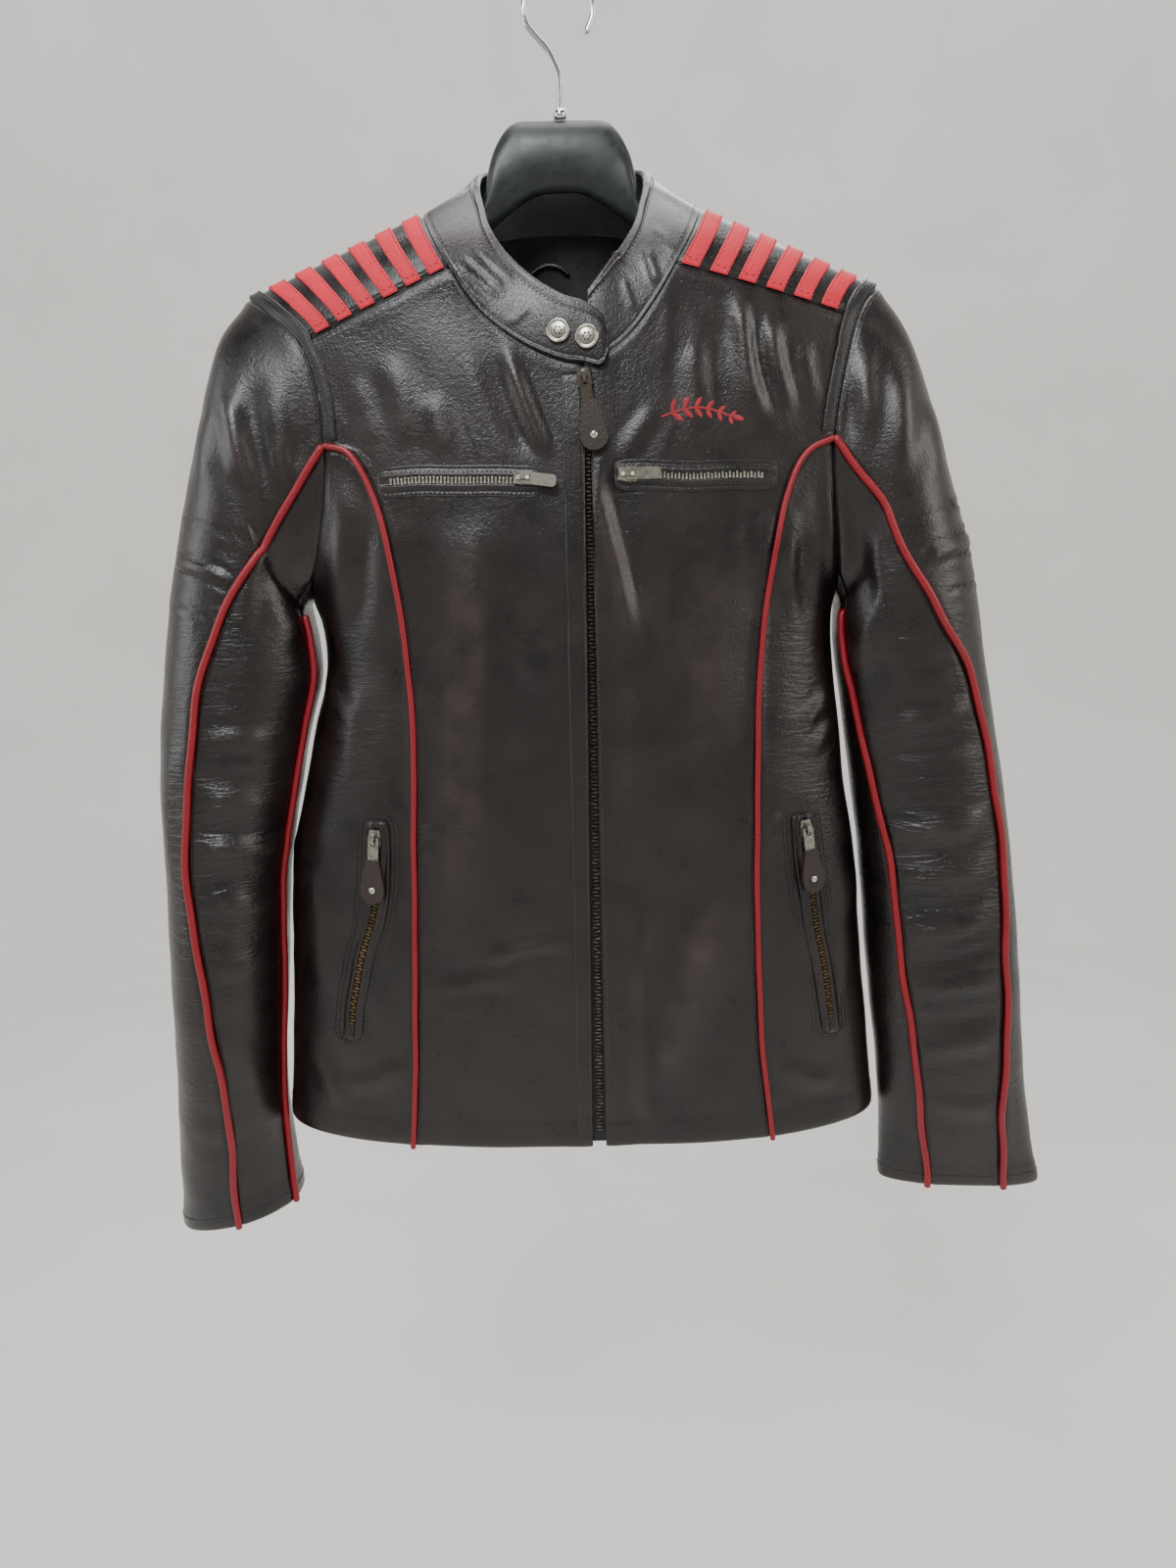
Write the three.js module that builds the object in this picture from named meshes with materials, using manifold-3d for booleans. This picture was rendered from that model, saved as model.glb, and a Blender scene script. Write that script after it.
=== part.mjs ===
// A collarband leather motorcycle jacket with red piping, hanging on a broad suit hanger.
// Millimetres, +Z up, +Y to the jacket's back, +X to the wearer's left.
// The origin is the point inside the top of the hanger's hook that rests on a rail.
import * as THREE from "three";
import { mergeVertices } from "three/addons/utils/BufferGeometryUtils.js";
import Module from "manifold-3d";

const wasm = await Module();
wasm.setup();

// ---------- driving dimensions ----------

const LEATHER = 2.0;             // jacket leather with its lining
const COLLAR_WALL = 3.0;         // two leathers back to back
const SEAM_GAP = 0.3;
const WIDER_DRAW_BACK = 0.2;     // how far the edge of a strongly curved panel lies off its seam
const ON_PANEL = 0.5;            // how far a strip sewn on a panel clears it
const STRIP = 1.4;               // thickness of sewn-on strips and zip tapes

const RIDGE_NECK_X = 90;         // where the shoulder line meets the neck
const RIDGE_NECK_Z = -141;
const RIDGE_SLOPE = 0.42;        // fall of the shoulder line per unit of width
const RIDGE_DROP = 50;           // height over which the shoulder rounds over
const SECTION_POWER = 2.5;       // squareness of the body's horizontal sections
const SLEEVE_POWER = 2.2;

const HEM_FRONT_Z = -764;
const HEM_BACK_Z = -768;
const HEM_SIDE_Z = -757;

const SIDES = { right: -1, left: 1 };   // the wearer's sides, and the sign of their X

// Horizontal sections of the body: half widths to each side, depths in front and behind.
const TORSO_ROWS = [
  { z: -100, right: 236, left: 238, front: 47, back: 44 },
  { z: -190, right: 234, left: 236, front: 50, back: 47 },
  { z: -250, right: 224, left: 228, front: 55, back: 54 },
  { z: -289, right: 215, left: 221, front: 58, back: 59 },
  { z: -345, right: 196, left: 203, front: 61, back: 63 },
  { z: -370, right: 184, left: 190, front: 61, back: 63 },
  { z: -385, right: 175, left: 180, front: 61, back: 63 },
  { z: -410, right: 169, left: 178, front: 61, back: 62 },
  { z: -437, right: 169, left: 180, front: 61, back: 61 },
  { z: -467, right: 177, left: 184, front: 61, back: 59 },
  { z: -519, right: 189, left: 190, front: 62, back: 57 },
  { z: -561, right: 199, left: 197, front: 62, back: 56 },
  { z: -663, right: 206, left: 206, front: 60, back: 54 },
  { z: -770, right: 213, left: 216, front: 56, back: 52 },
];

// The armhole seam, from the shoulder tip down to the underarm, in front and behind.
const ARMHOLE_TOP_Z = -190;
const ARMHOLE_LOW_Z = -385;
const ARMHOLE_ROWS = [
  { z: -190, rightFront: 207, leftFront: 205, back: 206 },
  { z: -193, rightFront: 202, leftFront: 202, back: 203 },
  { z: -200, rightFront: 192, leftFront: 194, back: 196 },
  { z: -214, rightFront: 176, leftFront: 186, back: 184 },
  { z: -230, rightFront: 163, leftFront: 181, back: 177 },
  { z: -254, rightFront: 156, leftFront: 176, back: 171 },
  { z: -289, rightFront: 154, leftFront: 171, back: 168 },
  { z: -320, rightFront: 156, leftFront: 172, back: 168 },
  { z: -345, rightFront: 161, leftFront: 174, back: 168 },
  { z: -372, rightFront: 170, leftFront: 178, back: 171 },
  { z: -385, rightFront: 175, leftFront: 180, back: 175 },
];

// Angles round the armhole: 0 is the shoulder tip, 90 the front, 180 the underarm.
const FRONT_PEAK = 90;
const SHOULDER_FRONT = { right: 50, left: 41 };
const SHOULDER_BACK = -44;
const SLEEVE_BACK = -110;
const UNDER_FRONT = [90, 110, 130, 150, 180];
const UNDER_BACK = [-180, -157, -134, -110, -76, -44];

// The princess seams, from the armhole peak down to the hem.
const PRINCESS_ROWS = {
  right: [
    { z: -287.5, x: 154 }, { z: -293, x: 137 }, { z: -316, x: 124 }, { z: -352, x: 115 },
    { z: -409, x: 107 }, { z: -473, x: 104 }, { z: -545, x: 106 }, { z: -620, x: 109 },
    { z: -695, x: 112 }, { z: -764, x: 117 },
  ],
  left: [
    { z: -287.5, x: 171 }, { z: -298, x: 152 }, { z: -320, x: 141 }, { z: -360, x: 132 },
    { z: -413, x: 125 }, { z: -475, x: 122 }, { z: -545, x: 122 }, { z: -620, x: 123 },
    { z: -695, x: 127 }, { z: -764, x: 135 },
  ],
};

// The neckline in front, by signed X, and where each front's panel samples it.
const NECK_FRONT_ROWS = [
  { x: -70, z: -183 }, { x: -53, z: -207 }, { x: -29, z: -226 }, { x: -4, z: -238 },
  { x: 12, z: -241 }, { x: 24, z: -237 }, { x: 47, z: -217 }, { x: 70, z: -183 },
];
const NECK_FRONT_STOPS = { right: [-70, -53, -29, -4, 12], left: [70, 57, 43, 29, 16] };
// Over the shoulder ridge: fold is the angle round the ridge, 90 in front, negative behind.
const NECK_RIDGE_ROWS = [
  { fold: 90, x: 70 }, { fold: 58, x: 81.5 }, { fold: 28, x: 87.5 }, { fold: 0, x: 89.5 },
  { fold: -15, x: 88 }, { fold: -29, x: 83 }, { fold: -42, x: 74 },
];
const NECK_BACK_STOPS = [74, 50, 25, 0];
const NECK_BACK_Z = -147;

// The collar's top edge over each sample of the neckline, from the front zip to the back.
const COLLAR_TOP_ROWS = [
  { x: -11, y: -56, z: -205, proud: 4.2 },
  { x: 1, y: -54.5, z: -201, proud: 3.2 },
  { x: 19, y: -48, z: -189, proud: 0.6 },
  { x: 35, y: -42, z: -173, proud: 0 },
  { x: 45, y: -34, z: -156, proud: 0 },
  { x: 49, y: -22, z: -141, proud: 0 },
  { x: 52.5, y: -9, z: -127, proud: 0 },
  { x: 54, y: 5, z: -117, proud: 0 },
  { x: 53.5, y: 16, z: -110, proud: 0 },
  { x: 50, y: 26, z: -106, proud: 0 },
  { x: 43, y: 34, z: -104, proud: 0 },
  { x: 29, y: 40, z: -103, proud: 0 },
  { x: 15, y: 43, z: -103, proud: 0 },
  { x: 0, y: 44, z: -103, proud: 0 },
];
// The other front's collar end lies under the tab, so its first samples differ.
const COLLAR_LEFT_FRONT = [
  { x: 15, y: -49.5, z: -198 }, { x: 24, y: -48, z: -187 }, { x: 33, y: -44, z: -175 },
];
// The collar tab past the zip: base and top edge of its last two sections.
const TAB_ROWS = [
  { baseX: 22, baseY: -60.2, baseZ: -243.5, topX: 20, topY: -56.5, topZ: -210 },
  { baseX: 27.5, baseY: -59.8, baseZ: -238, topX: 27, topY: -57, topZ: -217 },
];

// The front edges at the zip.
const ZIP_EDGE_ROWS = [
  { z: -241, right: 12.5, left: 15.5 },
  { z: -764, right: 9, left: 18 },
];

// Sleeve rings: the outermost and innermost point of each, its middle depth, half depth,
// and the angles round it of the two piped seams.
const SLEEVE_RINGS = {
  right: [
    { outX: 226, outZ: -217, inX: 180, inZ: -391, y: 0, depth: 50, outerSeam: 115, innerSeam: 158 },
    { outX: 241, outZ: -266, inX: 178, inZ: -400, y: -2, depth: 50, outerSeam: 106, innerSeam: 160 },
    { outX: 255, outZ: -318, inX: 174, inZ: -416, y: -4, depth: 50, outerSeam: 94, innerSeam: 160 },
    { outX: 266, outZ: -370, inX: 173, inZ: -440, y: -6, depth: 51, outerSeam: 84, innerSeam: 161 },
    { outX: 276, outZ: -430, inX: 182, inZ: -470, y: -7, depth: 53, outerSeam: 76, innerSeam: 164 },
    { outX: 283, outZ: -495, inX: 191, inZ: -510, y: -8, depth: 55, outerSeam: 75, innerSeam: 165 },
    { outX: 285, outZ: -575, inX: 204, inZ: -575, y: -8, depth: 55, outerSeam: 75, innerSeam: 166 },
    { outX: 287, outZ: -655, inX: 210, inZ: -655, y: -8, depth: 54, outerSeam: 89, innerSeam: 171 },
    { outX: 291, outZ: -740, inX: 216, inZ: -738, y: -8, depth: 47, outerSeam: 101, innerSeam: 171 },
    { outX: 296, outZ: -837, inX: 208, inZ: -818, y: -8, depth: 37, outerSeam: 97, innerSeam: 158 },
  ],
  left: [
    { outX: 223, outZ: -217, inX: 184, inZ: -391, y: 0, depth: 50, outerSeam: 103, innerSeam: 160 },
    { outX: 241, outZ: -266, inX: 183, inZ: -400, y: -2, depth: 50, outerSeam: 98, innerSeam: 160 },
    { outX: 257, outZ: -318, inX: 182, inZ: -416, y: -4, depth: 50, outerSeam: 90, innerSeam: 160 },
    { outX: 272, outZ: -370, inX: 184, inZ: -440, y: -5, depth: 48, outerSeam: 79, innerSeam: 157 },
    { outX: 283, outZ: -430, inX: 188, inZ: -470, y: -5, depth: 44, outerSeam: 60, innerSeam: 150 },
    { outX: 295, outZ: -495, inX: 193, inZ: -510, y: -5, depth: 42, outerSeam: 47, innerSeam: 142 },
    { outX: 308, outZ: -575, inX: 202, inZ: -572, y: -5, depth: 41, outerSeam: 47, innerSeam: 134 },
    { outX: 317, outZ: -655, inX: 209, inZ: -650, y: -5, depth: 39, outerSeam: 51, innerSeam: 128 },
    { outX: 326, outZ: -740, inX: 219, inZ: -735, y: -5, depth: 30, outerSeam: 58, innerSeam: 122 },
    { outX: 341, outZ: -822, inX: 222, inZ: -816, y: -5, depth: 16, outerSeam: 64, innerSeam: 115 },
  ],
};
const SLEEVE_START_INNER_SEAM = 150;
const SLEEVE_STATIONS = [0, 0.5, 1, 1.6, 2.3, 3, 3.7, 4.4, 5.1, 5.8, 6.6, 7.4, 8.2, 9.1, 10];

const STRIPES = 6;
const STRIPE_FIRST = 0.025;      // along the shoulder, as a part of its length
const STRIPE_PITCH = 0.152;
const STRIPE_WIDTH = 0.095;
const BAND_WIDTH = 9;
const BAND_REACH = 0.9;          // how much of that width it covers towards the seam
const PLACKET = { topZ: -247, topWidth: 14, lowWidth: 10, aboveHem: 1 };
const FRONT_TAPE = { wide: 22, aboveHem: 3 };
const FRONT_PIPING = 4;          // diameters
const SLEEVE_PIPING = 5;
const SLEEVE_PIPING_START = { outer: 0.5, inner: 2.3 };   // in sleeve stations

const CHEST_ZIPS = {
  right: { from: -119, to: -16, z: -311, fall: -1, height: 19, sliderX: -27, pullTurn: -8 },
  left: { from: 30, to: 133, z: -310, fall: -1, height: 19, sliderX: 38, pullTurn: 2 },
};
const CHEST_END = 0.36;          // half height at a chest zip's two ends, by its full height
const HAND_ZIP_ROWS = {
  right: [
    { z: -529, x: -131, half: 8 }, { z: -566, x: -133, half: 9 }, { z: -600, x: -138, half: 9 },
    { z: -630, x: -147, half: 8.5 }, { z: -660, x: -154, half: 8 }, { z: -686, x: -158, half: 7 },
  ],
  left: [
    { z: -531, x: 153, half: 8 }, { z: -566, x: 157, half: 9 }, { z: -600, x: 163, half: 9 },
    { z: -630, x: 169, half: 8.5 }, { z: -660, x: 174, half: 8 }, { z: -690, x: 177, half: 7 },
  ],
};
const HAND_SLIDER_Z = -541;
const FRONT_SLIDER_Z = -251;
const FRONT_ZIP_X = 14;
const FRONT_SLIDER_X = 12;
const CHEST_SLIDER_TURN = 90;    // the chest zips lie level and close towards +X

const SLIDER = {
  long: 11, wide: 9, tail: 6.5, thick: 2.8,
  bridgeLong: 8, bridgeWide: 2.2, bridgeHigh: 3.6, hole: 2.6, root: 0.6,
};
const PULL = { wide: 7.5, thick: 1.2, bar: 1.2, window: 4.6, long: 21, windowWide: 4, chamfer: 1.5 };
const PULL_LEAN = { tabbed: 3, right: -4, left: 4 };   // degrees off the leather
const HAND_PULL_TURN = { right: -4, left: 8 };
const FRONT_PULL_TURN = 9;
const TAB = { long: 30, wide: 17, neck: 9, thick: 3.4, socket: 7, overlap: 1 };
// Snap caps on the collar tab, and how far each stands off the tab's mean plane.
const SNAP = {
  radius: 7.4, thick: 2.6,
  places: [{ x: -3, z: -223, seat: 1.1 }, { x: 14.5, z: -227, seat: 0.5 }],
};

// The hanger's vertical sections from its middle out to one end.
const HANGER_ROWS = [
  { x: 0, top: -84, low: -128, half: 9 },
  { x: 14, top: -84, low: -129, half: 9 },
  { x: 28, top: -84.5, low: -136, half: 9 },
  { x: 36, top: -90, low: -142, half: 9 },
  { x: 43, top: -101, low: -147, half: 9.5 },
  { x: 47, top: -113, low: -151, half: 9 },
  { x: 49.5, top: -126, low: -154, half: 9 },
  { x: 54, top: -135, low: -156, half: 10 },
  { x: 66, top: -139.5, low: -162, half: 12 },
  { x: 92, top: -146, low: -174, half: 14 },
  { x: 125, top: -159, low: -190, half: 17 },
  { x: 158, top: -172.9, low: -206, half: 18 },
  { x: 184, top: -183.8, low: -217, half: 17 },
  { x: 192, top: -190, low: -214, half: 12 },
];
const HOOK_WIRE = 3.8;
const HOOK_RADIUS = 21.9;        // of the wire's middle line
const STEM_FOOT_Z = -84;
const HOOK_STEM_ROWS = [
  { x: 0, z: -81 }, { x: 0, z: -68 }, { x: -1, z: -56 }, { x: -8, z: -42 }, { x: -16, z: -33 },
];
const HOOK_ARC = { from: 195, to: -35 };   // degrees round the hook
const FERRULE = { wide: 4.2, narrow: 3, shoulder: 4, high: 6.5 };

// ---------- materials ----------

const finish = (color, roughness, metalness = 0) =>
  new THREE.MeshStandardMaterial({ color, roughness, metalness });
const MATERIALS = {
  leather: finish(0x352c2c, 0.42),
  redLeather: finish(0xc82f44, 0.5),
  facing: finish(0x2a2525, 0.7),
  tape: finish(0x1c1b1b, 0.8),
  nickel: finish(0x9a968c, 0.35, 1),
  brass: finish(0x8a7a58, 0.4, 1),
  plastic: finish(0x30383a, 0.45),
  chrome: finish(0xc9cccf, 0.15, 1),
};

const jacket = new THREE.Group();

function addNode(name, geometry, material) {
  const mesh = new THREE.Mesh(geometry, material);
  mesh.name = name;
  jacket.add(mesh);
  return mesh;
}

// ---------- small tools ----------

const radians = THREE.MathUtils.degToRad;
const clamp = THREE.MathUtils.clamp;
const lerp = THREE.MathUtils.lerp;
const vec = (x, y, z) => new THREE.Vector3(x, y, z);

// One column of a table, smoothly interpolated along its key column.
function columnAt(rows, key, value, column) {
  const last = rows.length - 1;
  const rising = rows[last][key] > rows[0][key];
  const passed = (i) => (rising ? value > rows[i][key] : value < rows[i][key]);
  let i = 0;
  while (i < last - 1 && passed(i + 1)) i++;
  const slope = (k) => {
    const a = rows[Math.max(k - 1, 0)];
    const b = rows[Math.min(k + 1, last)];
    return (b[column] - a[column]) / (b[key] - a[key]);
  };
  const span = rows[i + 1][key] - rows[i][key];
  const t = clamp((value - rows[i][key]) / span, 0, 1);
  const from = rows[i][column] * (2 * t ** 3 - 3 * t ** 2 + 1);
  const to = rows[i + 1][column] * (3 * t ** 2 - 2 * t ** 3);
  const leave = slope(i) * span * (t ** 3 - 2 * t ** 2 + t);
  const arrive = slope(i + 1) * span * (t ** 3 - t ** 2);
  return from + to + leave + arrive;
}

// A point on a smooth curve through evenly counted stations.
function throughStations(points, place) {
  const last = points.length - 1;
  const i = Math.min(Math.floor(place), last - 1);
  const t = place - i;
  const p0 = points[Math.max(i - 1, 0)];
  const p1 = points[i];
  const p2 = points[i + 1];
  const p3 = points[Math.min(i + 2, last)];
  const along = (axis) => {
    const leave = (p2[axis] - p0[axis]) / (i > 0 ? 2 : 1);
    const arrive = (p3[axis] - p1[axis]) / (i + 2 <= last ? 2 : 1);
    const h = t ** 3 - 2 * t ** 2 + t;
    const k = t ** 3 - t ** 2;
    return p1[axis] * (2 * t ** 3 - 3 * t ** 2 + 1) + p2[axis] * (3 * t ** 2 - 2 * t ** 3)
      + leave * h + arrive * k;
  };
  return vec(along("x"), along("y"), along("z"));
}

function geometryOf(points, triangles) {
  const positions = new Float32Array(points.flatMap((p) => [p.x, p.y, p.z]));
  const geometry = new THREE.BufferGeometry();
  geometry.setAttribute("position", new THREE.BufferAttribute(positions, 3));
  geometry.setIndex(triangles.flat());
  let volume = 0;
  for (const [a, b, c] of triangles) {
    volume += points[a].dot(vec(0, 0, 0).crossVectors(points[b], points[c]));
  }
  if (volume < 0) geometry.setIndex(triangles.flatMap(([a, b, c]) => [a, c, b]));
  return geometry;
}

// A sheet with thickness. outer[i][j] is its outside, inward[i][j] the step to its inside.
// Each edge draws back by half a seam gap, square to its own rim.
function wall(outer, inward, gap = SEAM_GAP / 2) {
  const rows = outer.length;
  const cols = outer[0].length;
  const shift = outer.map((row) => row.map(() => vec(0, 0, 0)));
  const drawBack = (i, j, before, after, inside) => {
    const along = vec(0, 0, 0).subVectors(after, before).normalize();
    const square = vec(0, 0, 0).crossVectors(along, inward[i][j]).normalize();
    const toInside = vec(0, 0, 0).subVectors(inside, outer[i][j]);
    shift[i][j].addScaledVector(square, square.dot(toInside) < 0 ? -gap : gap);
  };
  for (let j = 0; j < cols; j++) {
    const before = Math.max(j - 1, 0);
    const after = Math.min(j + 1, cols - 1);
    drawBack(0, j, outer[0][before], outer[0][after], outer[1][j]);
    drawBack(rows - 1, j, outer[rows - 1][before], outer[rows - 1][after], outer[rows - 2][j]);
  }
  for (let i = 0; i < rows; i++) {
    const before = Math.max(i - 1, 0);
    const after = Math.min(i + 1, rows - 1);
    drawBack(i, 0, outer[before][0], outer[after][0], outer[i][1]);
    drawBack(i, cols - 1, outer[before][cols - 1], outer[after][cols - 1], outer[i][cols - 2]);
  }
  const points = [];
  for (const depth of [0, 1]) {
    for (let i = 0; i < rows; i++) {
      for (let j = 0; j < cols; j++) {
        points.push(outer[i][j].clone().add(shift[i][j]).addScaledVector(inward[i][j], depth));
      }
    }
  }
  const at = (i, j, depth) => depth * rows * cols + i * cols + j;
  const triangles = [];
  const quad = (a, b, c, d) => triangles.push([a, b, c], [a, c, d]);
  for (let i = 0; i < rows - 1; i++) {
    for (let j = 0; j < cols - 1; j++) {
      quad(at(i, j, 0), at(i + 1, j, 0), at(i + 1, j + 1, 0), at(i, j + 1, 0));
      quad(at(i, j, 1), at(i, j + 1, 1), at(i + 1, j + 1, 1), at(i + 1, j, 1));
    }
    quad(at(i, 0, 0), at(i, 0, 1), at(i + 1, 0, 1), at(i + 1, 0, 0));
    quad(at(i + 1, cols - 1, 0), at(i + 1, cols - 1, 1), at(i, cols - 1, 1), at(i, cols - 1, 0));
  }
  for (let j = 0; j < cols - 1; j++) {
    quad(at(0, j + 1, 0), at(0, j + 1, 1), at(0, j, 1), at(0, j, 0));
    quad(at(rows - 1, j, 0), at(rows - 1, j, 1), at(rows - 1, j + 1, 1), at(rows - 1, j + 1, 0));
  }
  return geometryOf(points, triangles);
}

// ---------- the body's surface ----------

const ridgeZ = (x) => RIDGE_NECK_Z - RIDGE_SLOPE * (Math.abs(x) - RIDGE_NECK_X);
const sideOf = (x) => (x < 0 ? "right" : "left");
const halfWidth = (side, z) => columnAt(TORSO_ROWS, "z", z, side);

// The body's surface over a place in its front or back view.
function torsoPoint(x, z, face) {
  const across = Math.min(Math.abs(x) / halfWidth(sideOf(x), z), 1);
  const round = (1 - across ** SECTION_POWER) ** (1 / SECTION_POWER);
  const below = clamp((ridgeZ(x) - z) / RIDGE_DROP, 0, 1);
  const cap = Math.sqrt(1 - (1 - below) ** 2);
  const depth = columnAt(TORSO_ROWS, "z", z, face) * round * cap;
  return vec(x, face === "front" ? -depth : depth, z);
}

// The same surface by turn: 0 at the middle of a face, 90 at the side seam.
const turnOf = (x, z) => Math.asin(clamp(x / halfWidth(sideOf(x), z), -1, 1));
function torsoTurned(turn, z, face) {
  const side = turn < 0 ? "right" : "left";
  return torsoPoint(halfWidth(side, z) * Math.sin(turn), z, face);
}

// Round the shoulder ridge: fold is 0 on the ridge, 90 where it has rounded over.
function foldOf(x, z) {
  const drop = ridgeZ(x) - z;
  const past = Math.max(drop - RIDGE_DROP, 0) / RIDGE_DROP;
  const bend = Math.acos(1 - clamp(drop / RIDGE_DROP, 0, 1));
  return THREE.MathUtils.radToDeg(bend + past);
}
function ridgePoint(x, fold) {
  const bend = radians(Math.min(Math.abs(fold), 90));
  const past = Math.max(radians(Math.abs(fold) - 90), 0) * RIDGE_DROP;
  const z = ridgeZ(x) - RIDGE_DROP * (1 - Math.cos(bend)) - past;
  return torsoPoint(x, z, fold > 0 ? "front" : "back");
}

// Outward direction at a point of the body, from its own facets' neighbours.
function torsoNormal(point) {
  const face = point.y < 0 ? "front" : "back";
  const step = 0.5;
  const fold = foldOf(point.x, point.z) * (face === "front" ? 1 : -1);
  const sideways = Math.abs(point.x) > 0.96 * halfWidth(sideOf(point.x), point.z);
  let across;
  let down;
  if (Math.abs(fold) < 75) {
    across = ridgePoint(point.x + step, fold).sub(ridgePoint(point.x - step, fold));
    down = ridgePoint(point.x, fold + step).sub(ridgePoint(point.x, fold - step));
  } else if (sideways && point.z <= ARMHOLE_LOW_Z) {
    const side = sideOf(point.x);
    const slope = halfWidth(side, point.z + step) - halfWidth(side, point.z - step);
    const out = Math.sign(point.x);
    const lean = Math.abs(point.y) < 4 ? 0 : point.y / 25;
    return vec(out, lean, -slope / (2 * step)).normalize();
  } else {
    const inside = point.x - Math.sign(point.x) * step;
    across = torsoPoint(inside + step, point.z, face).sub(torsoPoint(inside - step, point.z, face));
    down = torsoPoint(point.x, point.z + step, face).sub(torsoPoint(point.x, point.z - step, face));
  }
  const normal = vec(0, 0, 0).crossVectors(across, down).normalize();
  const outward = vec(point.x * 0.3, point.y, Math.max(point.z + 200, 0));
  return normal.dot(outward) < 0 ? normal.negate() : normal;
}

function hemZ(x, face) {
  const middle = face === "front" ? HEM_FRONT_Z : HEM_BACK_Z;
  return lerp(middle, HEM_SIDE_Z, clamp(Math.abs(x) / 210, 0, 1) ** 4);
}

// ---------- seams ----------

function armholePoint(side, angle) {
  const middle = (ARMHOLE_TOP_Z + ARMHOLE_LOW_Z) / 2;
  const half = (ARMHOLE_TOP_Z - ARMHOLE_LOW_Z) / 2;
  const z = middle + half * Math.cos(radians(angle));
  const face = angle >= 0 ? "front" : "back";
  const lowest = Math.abs(angle) > 179.9;
  const column = face === "front" ? `${side}Front` : "back";
  const x = columnAt(ARMHOLE_ROWS, "z", z, lowest ? `${side}Front` : column);
  const tip = Math.abs(angle) < 0.1;
  const tipX = ARMHOLE_ROWS[0][`${side}Front`];
  const point = torsoPoint(SIDES[side] * (tip ? tipX : x), z, face);
  if (tip) point.set(SIDES[side] * tipX, 0, ridgeZ(tipX));
  if (lowest) point.set(SIDES[side] * halfWidth(side, ARMHOLE_LOW_Z), 0, ARMHOLE_LOW_Z);
  return point;
}

const shoulderAngles = (side) => {
  const front = SHOULDER_FRONT[side];
  const part = (whole, k) => (whole * k) / 3;
  return [front, part(front, 2), part(front, 1), 0, part(SHOULDER_BACK, 1), part(SHOULDER_BACK, 2),
    SHOULDER_BACK];
};
const frontUpperAngles = (side) =>
  [FRONT_PEAK, (FRONT_PEAK + SHOULDER_FRONT[side]) / 2, SHOULDER_FRONT[side]];

// A line across the shoulder from the neck to the armhole, at one of seven folds.
const SHOULDER_STEPS = 4;
function shoulderPoint(side, row, part) {
  const neck = NECK_RIDGE_ROWS[row];
  const end = armholePoint(side, shoulderAngles(side)[row]);
  const endFold = foldOf(end.x, end.z) * (end.y > 0.01 ? -1 : 1);
  const x = lerp(neck.x, Math.abs(end.x), part) * SIDES[side];
  return ridgePoint(x, lerp(neck.fold, endFold, part));
}

const neckFrontZ = (x) => columnAt(NECK_FRONT_ROWS, "x", x, "z");
function necklinePoints(side) {
  const sign = SIDES[side];
  const front = NECK_FRONT_STOPS[side].map((x) => torsoPoint(x, neckFrontZ(x), "front")).reverse();
  front[front.length - 1] = shoulderPoint(side, 0, 0);
  const ridge = NECK_RIDGE_ROWS.map((row, k) => shoulderPoint(side, k, 0)).slice(1);
  const back = NECK_BACK_STOPS.slice(1).map((x) => torsoPoint(sign * x, NECK_BACK_Z, "back"));
  return [...front, ...ridge, ...back];
}

const princessPoint = (side, row) => torsoPoint(SIDES[side] * row.x, row.z, "front");
const zipEdgeX = (side, z) => columnAt(ZIP_EDGE_ROWS, "z", z, side);

// Sleeve: a column of points from the armhole to the cuff, at a part of one panel's width.
const PANEL_EDGES = {
  outer: (ring) => [SLEEVE_BACK, ring ? ring.outerSeam : FRONT_PEAK],
  front: (ring) => [ring ? ring.outerSeam : FRONT_PEAK, ring ? ring.innerSeam : SLEEVE_START_INNER_SEAM],
  under: (ring) => [ring ? ring.innerSeam : SLEEVE_START_INNER_SEAM, 360 + SLEEVE_BACK],
};

function ringPoint(side, ring, angle, shrink) {
  const power = (value) => Math.sign(value) * Math.abs(value) ** (2 / SLEEVE_POWER);
  const halfX = (ring.outX - ring.inX) / 2;
  const halfZ = (ring.outZ - ring.inZ) / 2;
  const size = 1 - shrink / Math.hypot(halfX, halfZ);
  const c = power(Math.cos(radians(angle)));
  const s = power(Math.sin(radians(angle)));
  const x = (ring.outX + ring.inX) / 2 + halfX * size * c;
  const z = (ring.outZ + ring.inZ) / 2 + halfZ * size * c;
  return vec(SIDES[side] * x, ring.y - (ring.depth - shrink) * s, z);
}

function signedAngle(angle) {
  if (angle > 180) return angle - 360;
  return angle < -180 ? angle + 360 : angle;
}

function sleeveColumn(side, panel, part, shrink, start) {
  const angleAt = (ring) => lerp(...PANEL_EDGES[panel](ring), part);
  const rings = SLEEVE_RINGS[side].map((ring) => ringPoint(side, ring, angleAt(ring), shrink));
  return [start ?? armholePoint(side, signedAngle(angleAt(null))), ...rings];
}

// Where body and sleeve meet, the inside step is shared: it halves the angle between them.
function sharedStep(point, normalA, normalB, thickness) {
  const middle = normalA.clone().add(normalB);
  if (middle.length() < 0.2) middle.set(0, 0, -1);
  middle.normalize();
  const stretch = 1 / Math.max(middle.dot(normalA), 0.6);
  return middle.multiplyScalar(-thickness * stretch);
}

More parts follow.
